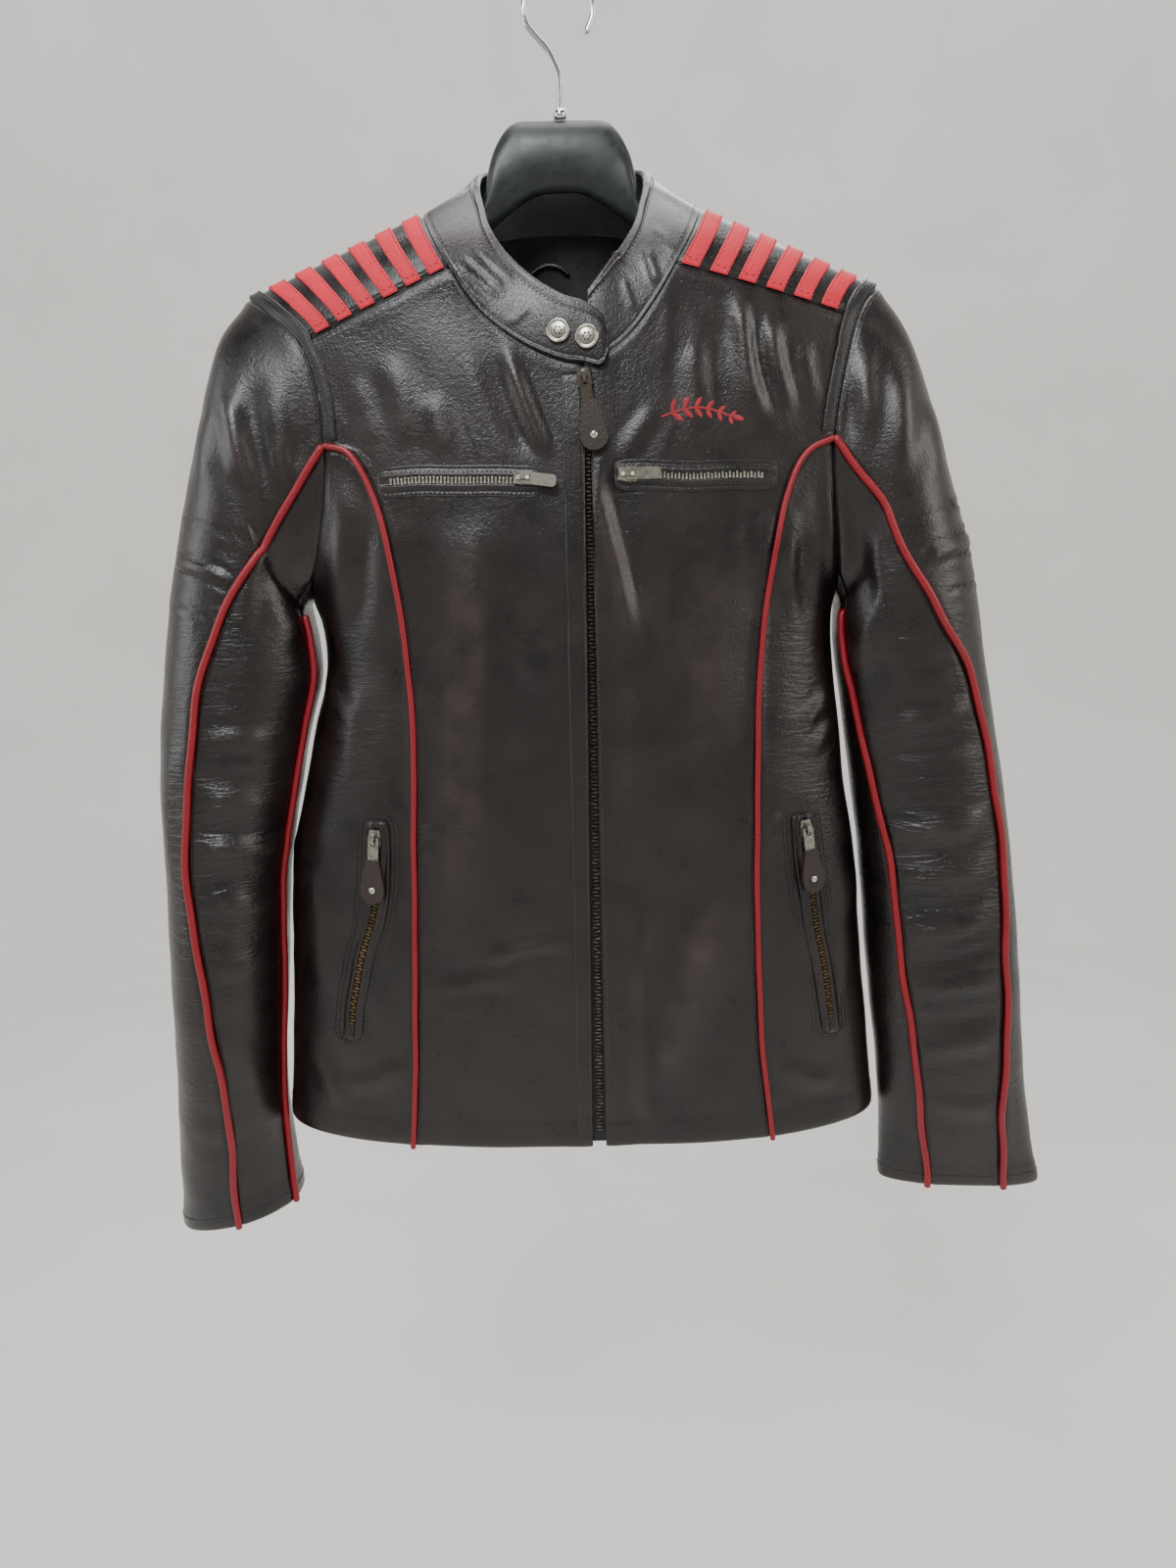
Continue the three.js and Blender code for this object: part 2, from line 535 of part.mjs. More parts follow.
function armholeStep(side, angle) {
  const point = armholePoint(side, angle);
  const panel = { name: "outer", part: 0 };
  const wide = angle < SLEEVE_BACK ? angle + 360 : angle;
  if (wide >= SLEEVE_START_INNER_SEAM) panel.name = "under";
  else if (wide >= FRONT_PEAK) panel.name = "front";
  const [from, to] = PANEL_EDGES[panel.name](null);
  panel.part = (wide - from) / (to - from);
  const down = sleeveColumn(side, panel.name, panel.part, 0)[1].sub(point);
  const near = (offset) => armholePoint(side, signedAngle(angle + offset));
  const round = near(2).sub(near(-2));
  const sleeveNormal = vec(0, 0, 0).crossVectors(round, down).normalize();
  const ringMiddle = ringPoint(side, SLEEVE_RINGS[side][0], 90, 0)
    .add(ringPoint(side, SLEEVE_RINGS[side][0], -90, 0)).multiplyScalar(0.5);
  if (sleeveNormal.dot(point.clone().sub(ringMiddle)) < 0) sleeveNormal.negate();
  const bodyNormal = Math.abs(angle) > 170 ? vec(SIDES[side], 0, 0) : torsoNormal(point);
  return sharedStep(point, bodyNormal, sleeveNormal, LEATHER);
}

// ---------- body panels ----------

// A four-sided patch of the body, filled between its edges in (turn, z).
// Edge lists are points of the body; rows run up the two sides, columns across.
function bodyPatch(face, bottom, top, start, finishEdge) {
  const flat = (p) => new THREE.Vector2(turnOf(p.x, p.z), p.z);
  const [b, t, s, f] = [bottom, top, start, finishEdge].map((edge) => edge.map(flat));
  const rows = s.length;
  const cols = b.length;
  const grid = [];
  for (let i = 0; i < rows; i++) {
    const v = i / (rows - 1);
    const row = [];
    for (let j = 0; j < cols; j++) {
      const u = j / (cols - 1);
      const sides = [[0, start[i]], [cols - 1, finishEdge[i]]];
      const ends = [[0, bottom[j]], [rows - 1, top[j]]];
      const onEnd = ends.find(([k]) => k === i)?.[1];
      const onEdge = onEnd ?? sides.find(([k]) => k === j)?.[1];
      const mix = (axis) => (1 - v) * b[j][axis] + v * t[j][axis]
        + (1 - u) * s[i][axis] + u * f[i][axis]
        - (1 - u) * (1 - v) * b[0][axis] - u * (1 - v) * b[cols - 1][axis]
        - (1 - u) * v * t[0][axis] - u * v * t[cols - 1][axis];
      row.push(onEdge ? onEdge.clone() : torsoTurned(mix("x"), mix("y"), face));
    }
    grid.push(row);
  }
  return grid;
}

const stepsInside = (grid) => grid.map((row) => row.map((p) => torsoNormal(p).multiplyScalar(-LEATHER)));

function sideSeamPoints(side, count) {
  return Array.from({ length: count }, (_, k) => {
    const z = lerp(HEM_SIDE_Z, ARMHOLE_LOW_Z, k / (count - 1));
    return vec(SIDES[side] * halfWidth(side, z), 0, z);
  });
}

const PRINCESS_COUNT = PRINCESS_ROWS.right.length;
const sideSeamNormal = (side) => vec(SIDES[side], 0, 0);

function frontCenter(side) {
  const princess = PRINCESS_ROWS[side].map((row) => princessPoint(side, row)).reverse();
  princess[0] = torsoPoint(princess[0].x, hemZ(princess[0].x, "front"), "front");
  princess[PRINCESS_COUNT - 1] = armholePoint(side, FRONT_PEAK);
  const upper = frontUpperAngles(side).slice(1).map((angle) => armholePoint(side, angle));
  const outerEdge = [...princess, ...upper];
  const neck = necklinePoints(side).slice(0, 5).reverse();
  const shoulder = Array.from({ length: SHOULDER_STEPS }, (_, k) =>
    shoulderPoint(side, 0, 1 - k / SHOULDER_STEPS));
  const top = [...shoulder, ...neck];
  const rows = outerEdge.length;
  const cols = top.length;
  const innerEdge = Array.from({ length: rows }, (_, i) => {
    const z = lerp(HEM_FRONT_Z, neck[4].z, i / (rows - 1));
    return torsoPoint(zipEdgeX(side, z), z, "front");
  });
  top[cols - 1] = innerEdge[rows - 1];
  const from = outerEdge[0].x;
  const bottom = Array.from({ length: cols }, (_, j) => {
    const x = lerp(from, zipEdgeX(side, HEM_FRONT_Z), j / (cols - 1));
    return torsoPoint(x, hemZ(x, "front"), "front");
  });
  innerEdge[0] = bottom[cols - 1];
  const grid = bodyPatch("front", bottom, top, outerEdge, innerEdge);
  const steps = stepsInside(grid);
  frontUpperAngles(side).forEach((angle, k) => {
    steps[PRINCESS_COUNT - 1 + k][0] = armholeStep(side, angle);
  });
  necklineSteps(side).slice(0, 5).reverse().forEach((step, k) => {
    steps[rows - 1][SHOULDER_STEPS + k] = step;
  });
  addNode(`front_center_${side}`, wall(grid, steps), MATERIALS.leather);
}

function frontSide(side) {
  const princess = PRINCESS_ROWS[side].map((row) => princessPoint(side, row)).reverse();
  princess[0] = torsoPoint(princess[0].x, hemZ(princess[0].x, "front"), "front");
  princess[PRINCESS_COUNT - 1] = armholePoint(side, FRONT_PEAK);
  const seam = sideSeamPoints(side, PRINCESS_COUNT);
  const top = UNDER_FRONT.map((angle) => armholePoint(side, angle)).reverse();
  const cols = top.length;
  const bottom = Array.from({ length: cols }, (_, j) => {
    const hip = SIDES[side] * Math.PI / 2;
    const turn = lerp(hip, turnOf(princess[0].x, HEM_FRONT_Z), j / (cols - 1));
    const x = halfWidth(side, HEM_FRONT_Z) * Math.sin(turn);
    return torsoPoint(x, hemZ(x, "front"), "front");
  });
  bottom[0] = seam[0];
  bottom[cols - 1] = princess[0];
  const grid = bodyPatch("front", bottom, top, seam, princess);
  const steps = stepsInside(grid);
  seam.forEach((point, i) => {
    steps[i][0] = sideSeamNormal(side).multiplyScalar(-LEATHER);
  });
  [...UNDER_FRONT].reverse().forEach((angle, j) => {
    steps[PRINCESS_COUNT - 1][j] = armholeStep(side, angle);
  });
  addNode(`front_side_${side}`, wall(grid, steps, WIDER_DRAW_BACK), MATERIALS.leather);
}

function backPanel() {
  const edge = (side) => [
    ...sideSeamPoints(side, PRINCESS_COUNT),
    ...UNDER_BACK.slice(1).map((angle) => armholePoint(side, angle)),
  ];
  const start = edge("right");
  const finishEdge = edge("left");
  const shoulder = (side) => Array.from({ length: SHOULDER_STEPS }, (_, k) =>
    shoulderPoint(side, 6, 1 - k / SHOULDER_STEPS));
  const neck = (side) => necklinePoints(side).slice(10);
  const top = [...shoulder("right"), ...neck("right"), ...neck("left").slice(0, -1).reverse(),
    ...shoulder("left").reverse()];
  const rows = start.length;
  const cols = top.length;
  // the hem, and a level line across the back at the underarms
  const bottom = Array.from({ length: cols }, (_, j) => {
    const turn = lerp(-Math.PI / 2, Math.PI / 2, j / (cols - 1));
    const x = halfWidth(turn < 0 ? "right" : "left", HEM_BACK_Z) * Math.sin(turn);
    return torsoPoint(x, hemZ(x, "back"), "back");
  });
  bottom[0] = start[0];
  bottom[cols - 1] = finishEdge[0];
  const level = Array.from({ length: cols }, (_, j) =>
    torsoTurned(lerp(-Math.PI / 2, Math.PI / 2, j / (cols - 1)), ARMHOLE_LOW_Z, "back"));
  const low = PRINCESS_COUNT;
  level[0] = start[low - 1];
  level[cols - 1] = finishEdge[low - 1];
  const lower = bodyPatch("back", bottom, level, start.slice(0, low), finishEdge.slice(0, low));
  const upper = bodyPatch("back", level, top, start.slice(low - 1), finishEdge.slice(low - 1));
  const grid = [...lower, ...upper.slice(1)];
  const steps = stepsInside(grid);
  for (let i = 0; i < PRINCESS_COUNT; i++) {
    steps[i][0] = sideSeamNormal("right").multiplyScalar(-LEATHER);
    steps[i][cols - 1] = sideSeamNormal("left").multiplyScalar(-LEATHER);
  }
  UNDER_BACK.forEach((angle, k) => {
    steps[PRINCESS_COUNT - 1 + k][0] = armholeStep("right", angle);
    steps[PRINCESS_COUNT - 1 + k][cols - 1] = armholeStep("left", angle);
  });
  const neckSteps = (side) => necklineSteps(side).slice(10);
  [...neckSteps("right"), ...neckSteps("left").slice(0, -1).reverse()].forEach((step, k) => {
    steps[rows - 1][SHOULDER_STEPS + k] = step;
  });
  addNode("back", wall(grid, steps), MATERIALS.leather);
  return { grid, steps };
}

function shoulderPanel(side) {
  const angles = shoulderAngles(side);
  const grid = angles.map((_, row) =>
    Array.from({ length: SHOULDER_STEPS + 1 }, (__, k) => shoulderPoint(side, row, k / SHOULDER_STEPS)));
  angles.forEach((angle, row) => {
    grid[row][SHOULDER_STEPS] = armholePoint(side, angle);
  });
  const steps = stepsInside(grid);
  const neckSteps = necklineSteps(side).slice(4, 11);
  angles.forEach((angle, row) => {
    steps[row][0] = neckSteps[row];
    steps[row][SHOULDER_STEPS] = armholeStep(side, angle);
  });
  addNode(`shoulder_panel_${side}`, wall(grid, steps), MATERIALS.leather);
  for (let stripe = 0; stripe < STRIPES; stripe++) {
    const from = STRIPE_FIRST + stripe * STRIPE_PITCH;
    addStripe(side, stripe, grid, from, from + STRIPE_WIDTH);
  }
}

// A red stripe follows the facets of the shoulder panel, moved out.
function addStripe(side, stripe, grid, from, to) {
  const onRow = (row, part) => {
    const place = clamp(part, 0, 1) * SHOULDER_STEPS;
    const k = Math.min(Math.floor(place), SHOULDER_STEPS - 1);
    return row[k].clone().lerp(row[k + 1], place - k);
  };
  const lift = ON_PANEL + STRIP;
  const outer = grid.map((row) => [from, to].map((part) => {
    const point = onRow(row, part);
    return point.clone().addScaledVector(torsoNormal(point), lift);
  }));
  const steps = grid.map((row) => [from, to].map((part) =>
    torsoNormal(onRow(row, part)).multiplyScalar(-STRIP)));
  addNode(`shoulder_stripe_${side}_${stripe + 1}`, wall(outer, steps, 0), MATERIALS.redLeather);
}

// ---------- sleeves ----------

const SLEEVE_COLUMNS = {
  outer: (side) => [SLEEVE_BACK, -76, ...shoulderAngles(side).reverse(), frontUpperAngles(side)[1],
    FRONT_PEAK],
  front: () => [90, 110, 130, 150],
  under: () => [150, 180, 203, 226, 250],
};

function sleevePanel(side, panel) {
  const [from, to] = PANEL_EDGES[panel](null);
  const angles = SLEEVE_COLUMNS[panel](side);
  const columns = angles.map((angle) => {
    const part = (angle - from) / (to - from);
    const start = armholePoint(side, signedAngle(angle));
    const outside = sleeveColumn(side, panel, part, 0, start);
    const startInside = start.clone().add(armholeStep(side, signedAngle(angle)));
    const inside = sleeveColumn(side, panel, part, LEATHER, startInside);
    return { outside, inside };
  });
  const grid = SLEEVE_STATIONS.map((place) => columns.map((c) => throughStations(c.outside, place)));
  const steps = SLEEVE_STATIONS.map((place, i) => columns.map((c, j) =>
    throughStations(c.inside, place).sub(grid[i][j])));
  addNode(`sleeve_${panel}_${side}`, wall(grid, steps, WIDER_DRAW_BACK), MATERIALS.leather);
}

// ---------- piping ----------

// A round cord laid on a seam: its middle line is the seam moved out by its radius and a gap.
function pipe(name, seam, normals, diameter, material) {
  const radius = diameter / 2;
  const sides = 6;
  const height = radius / Math.cos(Math.PI / sides) + SEAM_GAP;
  const line = seam.map((p, i) => p.clone().addScaledVector(normals[i], height));
  const points = [];
  line.forEach((middle, i) => {
    const before = line[Math.max(i - 1, 0)];
    const after = line[Math.min(i + 1, line.length - 1)];
    const along = vec(0, 0, 0).subVectors(after, before).normalize();
    const across = vec(0, 0, 0).crossVectors(along, normals[i]).normalize();
    const up = vec(0, 0, 0).crossVectors(across, along);
    for (let k = 0; k < sides; k++) {
      const angle = (k + 0.5) * 2 * Math.PI / sides;
      points.push(middle.clone().addScaledVector(across, radius * Math.cos(angle))
        .addScaledVector(up, radius * Math.sin(angle)));
    }
  });
  const triangles = [];
  for (let i = 0; i < line.length - 1; i++) {
    for (let k = 0; k < sides; k++) {
      const a = i * sides + k;
      const b = i * sides + (k + 1) % sides;
      triangles.push([a, b, b + sides], [a, b + sides, a + sides]);
    }
  }
  const last = (line.length - 1) * sides;
  for (let k = 1; k < sides - 1; k++) {
    triangles.push([0, k + 1, k], [last, last + k, last + k + 1]);
  }
  addNode(name, geometryOf(points, triangles), material);
}

function frontPiping(side) {
  const rows = PRINCESS_ROWS[side].slice(1);
  const seam = rows.map((row) => princessPoint(side, row));
  const peak = PRINCESS_ROWS[side][0];
  seam.unshift(torsoPoint(SIDES[side] * (peak.x - 7), peak.z - 3, "front"));
  seam[seam.length - 1].z = hemZ(seam[seam.length - 1].x, "front");
  pipe(`piping_front_${side}`, seam, seam.map(torsoNormal), FRONT_PIPING, MATERIALS.redLeather);
}

function sleevePiping(side, which) {
  const panel = which === "outer" ? "outer" : "front";
  const here = sleeveColumn(side, panel, 1, 0);
  const beside = sleeveColumn(side, "front", 0.5, 0);
  const other = which === "outer"
    ? sleeveColumn(side, "outer", 0.85, 0)
    : sleeveColumn(side, "under", 0.15, 0);
  const first = SLEEVE_PIPING_START[which];
  const stations = SLEEVE_STATIONS.filter((place) => place >= first);
  const seam = stations.map((place) => throughStations(here, place));
  const lastStation = here.length - 1;
  const step = 0.3;
  const normals = stations.map((place) => {
    const across = throughStations(beside, place).sub(throughStations(other, place));
    const ahead = throughStations(here, Math.min(place + step, lastStation));
    const along = ahead.sub(throughStations(here, place - step));
    const normal = vec(0, 0, 0).crossVectors(across, along).normalize();
    return normal.y > 0 ? normal.negate() : normal;
  });
  pipe(`piping_sleeve_${which}_${side}`, seam, normals, SLEEVE_PIPING, MATERIALS.redLeather);
}

// ---------- strips sewn on the body ----------

// A strip on the front through pairs of edge places, moved out from the body.
function frontStrip(name, pairs, material, thickness = STRIP, lift = ON_PANEL) {
  const place = ([x, z]) => torsoPoint(x, z, "front");
  const outer = pairs.map((pair) => pair.map((at) => {
    const point = place(at);
    return point.addScaledVector(torsoNormal(point), lift + thickness);
  }));
  const steps = pairs.map((pair) => pair.map((at) => torsoNormal(place(at)).multiplyScalar(-thickness)));
  addNode(name, wall(outer, steps, 0), material);
}

function armholeBand(side) {
  const angles = [...shoulderAngles(side).slice(0, 6)];
  const front = [88, 76, 64].filter((angle) => angle > SHOULDER_FRONT[side] + 8);
  const back = [SHOULDER_BACK, -60, -76, -92];
  const all = [...front, ...angles, ...back];
  const lift = ON_PANEL + STRIP;
  const inset = (point) => {
    const fold = foldOf(point.x, point.z) * (point.y > 0 ? -1 : 1);
    const x = point.x - SIDES[side] * BAND_WIDTH;
    if (Math.abs(fold) < 90) return ridgePoint(x, fold);
    return torsoPoint(x, point.z, point.y > 0 ? "back" : "front");
  };
  const raised = (p) => p.clone().addScaledVector(torsoNormal(p), lift);
  const outer = all.map((angle) => {
    const seam = armholePoint(side, angle);
    const inner = inset(seam);
    return [raised(inner.clone().lerp(seam, BAND_REACH)), raised(inner)];
  });
  const steps = outer.map((pair) => pair.map((p) => torsoNormal(p).multiplyScalar(-STRIP)));
  addNode(`armhole_band_${side}`, wall(outer, steps, 0), MATERIALS.leather);
}

function placket() {
  const count = 13;
  const pairs = Array.from({ length: count }, (_, k) => {
    const z = lerp(PLACKET.topZ, HEM_FRONT_Z + PLACKET.aboveHem, k / (count - 1));
    const edge = zipEdgeX("right", z) - SEAM_GAP;
    const width = lerp(PLACKET.topWidth, PLACKET.lowWidth, k / (count - 1));
    return [[edge - width, z], [edge, z]];
  });
  frontStrip("placket_right", pairs, MATERIALS.leather);
}

function frontZip() {
  const count = 13;
  const depth = LEATHER + SEAM_GAP;
  const half = FRONT_TAPE.wide / 2;
  const outer = [];
  const steps = [];
  for (let k = 0; k < count; k++) {
    const z = lerp(PLACKET.topZ, HEM_FRONT_Z + FRONT_TAPE.aboveHem, k / (count - 1));
    const edges = [FRONT_ZIP_X - half, FRONT_ZIP_X + half];
    const pair = edges.map((x) => torsoPoint(x, z, "front"));
    outer.push(pair.map((p) => p.clone().addScaledVector(torsoNormal(p), -depth)));
    steps.push(pair.map((p) => torsoNormal(p).multiplyScalar(-STRIP)));
  }
  addNode("front_zip", wall(outer, steps, 0), MATERIALS.tape);
}

function chestZip(side) {
  const zip = CHEST_ZIPS[side];
  const count = 8;
  const pairs = Array.from({ length: count + 1 }, (_, k) => {
    const x = lerp(zip.from, zip.to, k / count);
    const z = zip.z + zip.fall * k / count;
    const half = zip.height * (k === 0 || k === count ? CHEST_END : 0.5);
    return [[x, z - half], [x, z + half]];
  });
  frontStrip(`chest_zip_${side}`, pairs, MATERIALS.tape);
}

function handZip(side) {
  const pairs = HAND_ZIP_ROWS[side].map((row) => [[row.x - row.half, row.z], [row.x + row.half, row.z]]);
  frontStrip(`hand_zip_${side}`, pairs, MATERIALS.tape);
}

// ---------- collar and neck facing ----------

const collarTop = (side) => COLLAR_TOP_ROWS.map((row, k) => {
  const own = side === "left" && COLLAR_LEFT_FRONT[k] ? COLLAR_LEFT_FRONT[k] : null;
  return own ? vec(own.x, own.y, own.z) : vec(SIDES[side] * row.x, row.y, row.z);
});

function necklineSteps(side) {
  const base = necklinePoints(side);
  const top = collarTop(side);
  return base.map((point, k) => {
    const before = base[Math.max(k - 1, 0)];
    const after = base[Math.min(k + 1, base.length - 1)];
    const along = vec(0, 0, 0).subVectors(after, before);
    const up = vec(0, 0, 0).subVectors(top[k], point);
    const collarNormal = vec(0, 0, 0).crossVectors(along, up).normalize();
    const outward = vec(point.x, point.y, 0);
    if (collarNormal.dot(outward) < 0) collarNormal.negate();
    return sharedStep(point, torsoNormal(point), collarNormal, LEATHER);
  });
}

let collarFace = null;

function collar() {
  const parts = [0, 0.5, 1];
  const column = (side, k) => {
    const base = necklinePoints(side)[k];
    const top = collarTop(side)[k];
    const proud = side === "right" ? COLLAR_TOP_ROWS[k].proud : 0;
    base.y -= proud;
    return parts.map((part) => base.clone().lerp(top, part));
  };
  const last = COLLAR_TOP_ROWS.length - 1;
  const tab = [...TAB_ROWS].reverse().map((row) => {
    const base = vec(row.baseX, row.baseY, row.baseZ);
    const top = vec(row.topX, row.topY, row.topZ);
    return parts.map((part) => base.clone().lerp(top, part));
  });
  const right = Array.from({ length: last + 1 }, (_, k) => column("right", k));
  const left = Array.from({ length: last }, (_, k) => column("left", k)).reverse();
  const grid = [...tab, ...right, ...left];
  const steps = grid.map((line, i) => line.map((point, j) => {
    const before = grid[Math.max(i - 1, 0)][j];
    const after = grid[Math.min(i + 1, grid.length - 1)][j];
    const along = vec(0, 0, 0).subVectors(after, before);
    const up = vec(0, 0, 0).subVectors(line[2], line[0]);
    const normal = vec(0, 0, 0).crossVectors(along, up).normalize();
    const outward = vec(point.x, point.y, 0);
    if (i < 4 && normal.y > 0) normal.negate();
    else if (i >= 4 && normal.dot(outward) < 0) normal.negate();
    return normal.multiplyScalar(-COLLAR_WALL);
  }));
  const firstOnBody = tab.length + 2;
  for (let k = 2; k <= last; k++) {
    steps[firstOnBody + k - 2][0] = necklineSteps("right")[k].multiplyScalar(COLLAR_WALL / LEATHER);
  }
  for (let k = 0; k < last; k++) {
    steps[grid.length - 1 - k][0] = necklineSteps("left")[k].multiplyScalar(COLLAR_WALL / LEATHER);
  }
  addNode("collar", wall(grid, steps), MATERIALS.leather);
  collarFace = grid;
}

// The facing inside the back of the neck, with the hang loop sewn on it. It follows the
// back panel's top cells, moved in.
const FACING = {
  columns: [4.8, 5, 6, 7, 8, 9, 9.2], from: 0.08, to: 0.5, thick: 1.2, clear: 1.8,
};
function neckFacing({ grid, steps }) {
  const last = grid.length - 1;
  const within = (rows, place, part) => {
    const k = Math.min(Math.floor(place), rows[0].length - 2);
    const onRow = (row) => row[k].clone().lerp(row[k + 1], place - k);
    return onRow(rows[last]).lerp(onRow(rows[last - 1]), part);
  };
  const outer = [];
  const inward = [];
  for (const place of FACING.columns) {
    const parts = [FACING.from, FACING.to];
    const through = parts.map((part) => within(steps, place, part));
    outer.push(parts.map((part, k) => within(grid, place, part)
      .addScaledVector(through[k], 1 + FACING.clear / LEATHER)));
    inward.push(through.map((step) => step.clone().setLength(FACING.thick)));
  }
  addNode("neck_facing", wall(outer, inward, 0), MATERIALS.facing);
}

// ---------- metal and pull tabs ----------

// A closed three.js geometry as a manifold solid, and back.
function solidOf(geometry) {
  const bare = geometry.index ? geometry.clone() : geometry;
  bare.deleteAttribute("normal");
  bare.deleteAttribute("uv");
  const merged = mergeVertices(bare, 1e-4);
  return new wasm.Manifold(new wasm.Mesh({
    numProp: 3,
    vertProperties: merged.attributes.position.array,
    triVerts: new Uint32Array(merged.index.array),
  }));
}
function geometryFrom(solid) {
  const mesh = solid.getMesh();
  const geometry = new THREE.BufferGeometry();
  geometry.setAttribute("position", new THREE.BufferAttribute(mesh.vertProperties, 3));
  geometry.setIndex(new THREE.BufferAttribute(mesh.triVerts, 1));
  return geometry;
}

const TUNNEL_SILL = 0.1;

// Local frame of a slider: X across the zip, Y along the pull, Z out from the leather.
// The origin is on the zip tape's outside, under the middle of the slider's bridge.
function sliderGeometry() {
  const { long, wide, tail, thick, bridgeLong, bridgeWide, bridgeHigh, hole, root } = SLIDER;
  const plan = new THREE.Shape();
  plan.moveTo(-tail / 2, -long / 2);
  plan.lineTo(tail / 2, -long / 2);
  plan.lineTo(wide / 2, 0);
  plan.lineTo(wide / 2, long / 2);
  plan.lineTo(-wide / 2, long / 2);
  plan.lineTo(-wide / 2, 0);
  const body = new THREE.ExtrudeGeometry(plan, { depth: thick, bevelEnabled: false });
  body.translate(0, 0, SEAM_GAP);
  const arch = new THREE.Shape();
  arch.moveTo(-bridgeLong / 2, -root);
  arch.lineTo(bridgeLong / 2, -root);
  arch.lineTo(bridgeLong / 2, bridgeHigh * 0.6);
  arch.lineTo(bridgeLong / 4, bridgeHigh);
  arch.lineTo(-bridgeLong / 4, bridgeHigh);
  arch.lineTo(-bridgeLong / 2, bridgeHigh * 0.6);
  const tunnel = new THREE.Path();
  tunnel.moveTo(-hole / 2, TUNNEL_SILL);
  tunnel.lineTo(-hole / 2, hole);
  tunnel.lineTo(hole / 2, hole);
  tunnel.lineTo(hole / 2, TUNNEL_SILL);
  arch.holes.push(tunnel);
  const bridge = new THREE.ExtrudeGeometry(arch, { depth: bridgeWide, bevelEnabled: false });
  bridge.translate(0, 0, -bridgeWide / 2);
  const upright = new THREE.Matrix4().makeBasis(vec(0, 1, 0), vec(0, 0, 1), vec(1, 0, 0));
  bridge.applyMatrix4(upright);
  bridge.translate(0, 0, SEAM_GAP + thick);
  return geometryFrom(solidOf(body).add(solidOf(bridge)));
}

const PIVOT_HEIGHT = SEAM_GAP + SLIDER.thick + (SLIDER.hole + TUNNEL_SILL) / 2;

// The pull's origin is its pivot; it reaches along +Y.
function pullGeometry(long) {
  const { wide, thick, bar, window: opening, windowWide, chamfer } = PULL;
  const plate = new THREE.Shape();
  plate.moveTo(-wide / 2, -bar / 2);
  plate.lineTo(wide / 2, -bar / 2);
  plate.lineTo(wide / 2, long - chamfer);
  plate.lineTo(wide / 2 - chamfer, long);
  plate.lineTo(-wide / 2 + chamfer, long);
  plate.lineTo(-wide / 2, long - chamfer);
  const gap = new THREE.Path();
  gap.moveTo(-windowWide / 2, bar / 2);
  gap.lineTo(-windowWide / 2, bar / 2 + opening);
  gap.lineTo(windowWide / 2, bar / 2 + opening);
  gap.lineTo(windowWide / 2, bar / 2);
  plate.holes.push(gap);
  const geometry = new THREE.ExtrudeGeometry(plate, { depth: thick, bevelEnabled: false });
  geometry.translate(0, 0, -thick / 2);
  return geometryFrom(solidOf(geometry));
}

// A leather teardrop folded over the end of the pull, riveted through.
function tabGeometry(pullLong) {
  const { long, wide, neck, thick, socket, overlap } = TAB;
  const radius = wide / 2;
  const startY = pullLong - socket + overlap;
  const centreY = startY + long - radius;
  const shoulderY = centreY - radius * 0.35;
  const outline = new THREE.Shape();
  outline.moveTo(-neck / 2, startY);
  outline.lineTo(neck / 2, startY);
  outline.lineTo(radius, shoulderY);
  outline.absarc(0, centreY, radius, 0, Math.PI, false);
  outline.lineTo(-radius, shoulderY);
  const extrusion = { depth: thick, bevelEnabled: false, curveSegments: 12 };
  const body = new THREE.ExtrudeGeometry(outline, extrusion);
  body.translate(0, 0, -thick / 2);
  const room = new THREE.BoxGeometry(
    PULL.wide + 2 * SEAM_GAP, socket + SEAM_GAP, PULL.thick + 2 * SEAM_GAP,
  );
  room.translate(0, startY + (socket + SEAM_GAP) / 2 - overlap, 0);
  return geometryFrom(solidOf(body).subtract(solidOf(room)));
}

// Frame on the front of the body: out along its normal, down turned by an angle in its plane.
function frontFrame(x, z, turn, height, lean = 0) {
  const point = torsoPoint(x, z, "front");
  const out = torsoNormal(point);
  const fall = vec(0, 0, -1).addScaledVector(out, out.z).normalize();
  const along = fall.applyAxisAngle(out, radians(turn)).normalize();
  const across = vec(0, 0, 0).crossVectors(along, out);
  const leaned = along.clone().applyAxisAngle(across, radians(-lean));
  const outLeaned = vec(0, 0, 0).crossVectors(across, leaned);
  const frame = new THREE.Matrix4().makeBasis(across, leaned, outLeaned);
  frame.setPosition(point.addScaledVector(out, height));
  return frame;
}

function place(name, geometry, frame, material) {
  const mesh = addNode(name, geometry, material);
  mesh.applyMatrix4(frame);
}

// A slider, its pull and, where tabbed, the pull's leather tab. Turns are from straight down.
function zipHardware({ label, x, z, sliderTurn, pullTurn, lean, metal, tabbed }) {
  const onTape = ON_PANEL + STRIP;
  place(label("slider"), sliderGeometry(), frontFrame(x, z, sliderTurn, onTape), metal);
  const pullFrame = frontFrame(x, z, pullTurn, onTape + PIVOT_HEIGHT, lean);
  place(label("pull"), pullGeometry(PULL.long), pullFrame, metal);
  if (tabbed) place(label("tab"), tabGeometry(PULL.long), pullFrame, MATERIALS.leather);
}

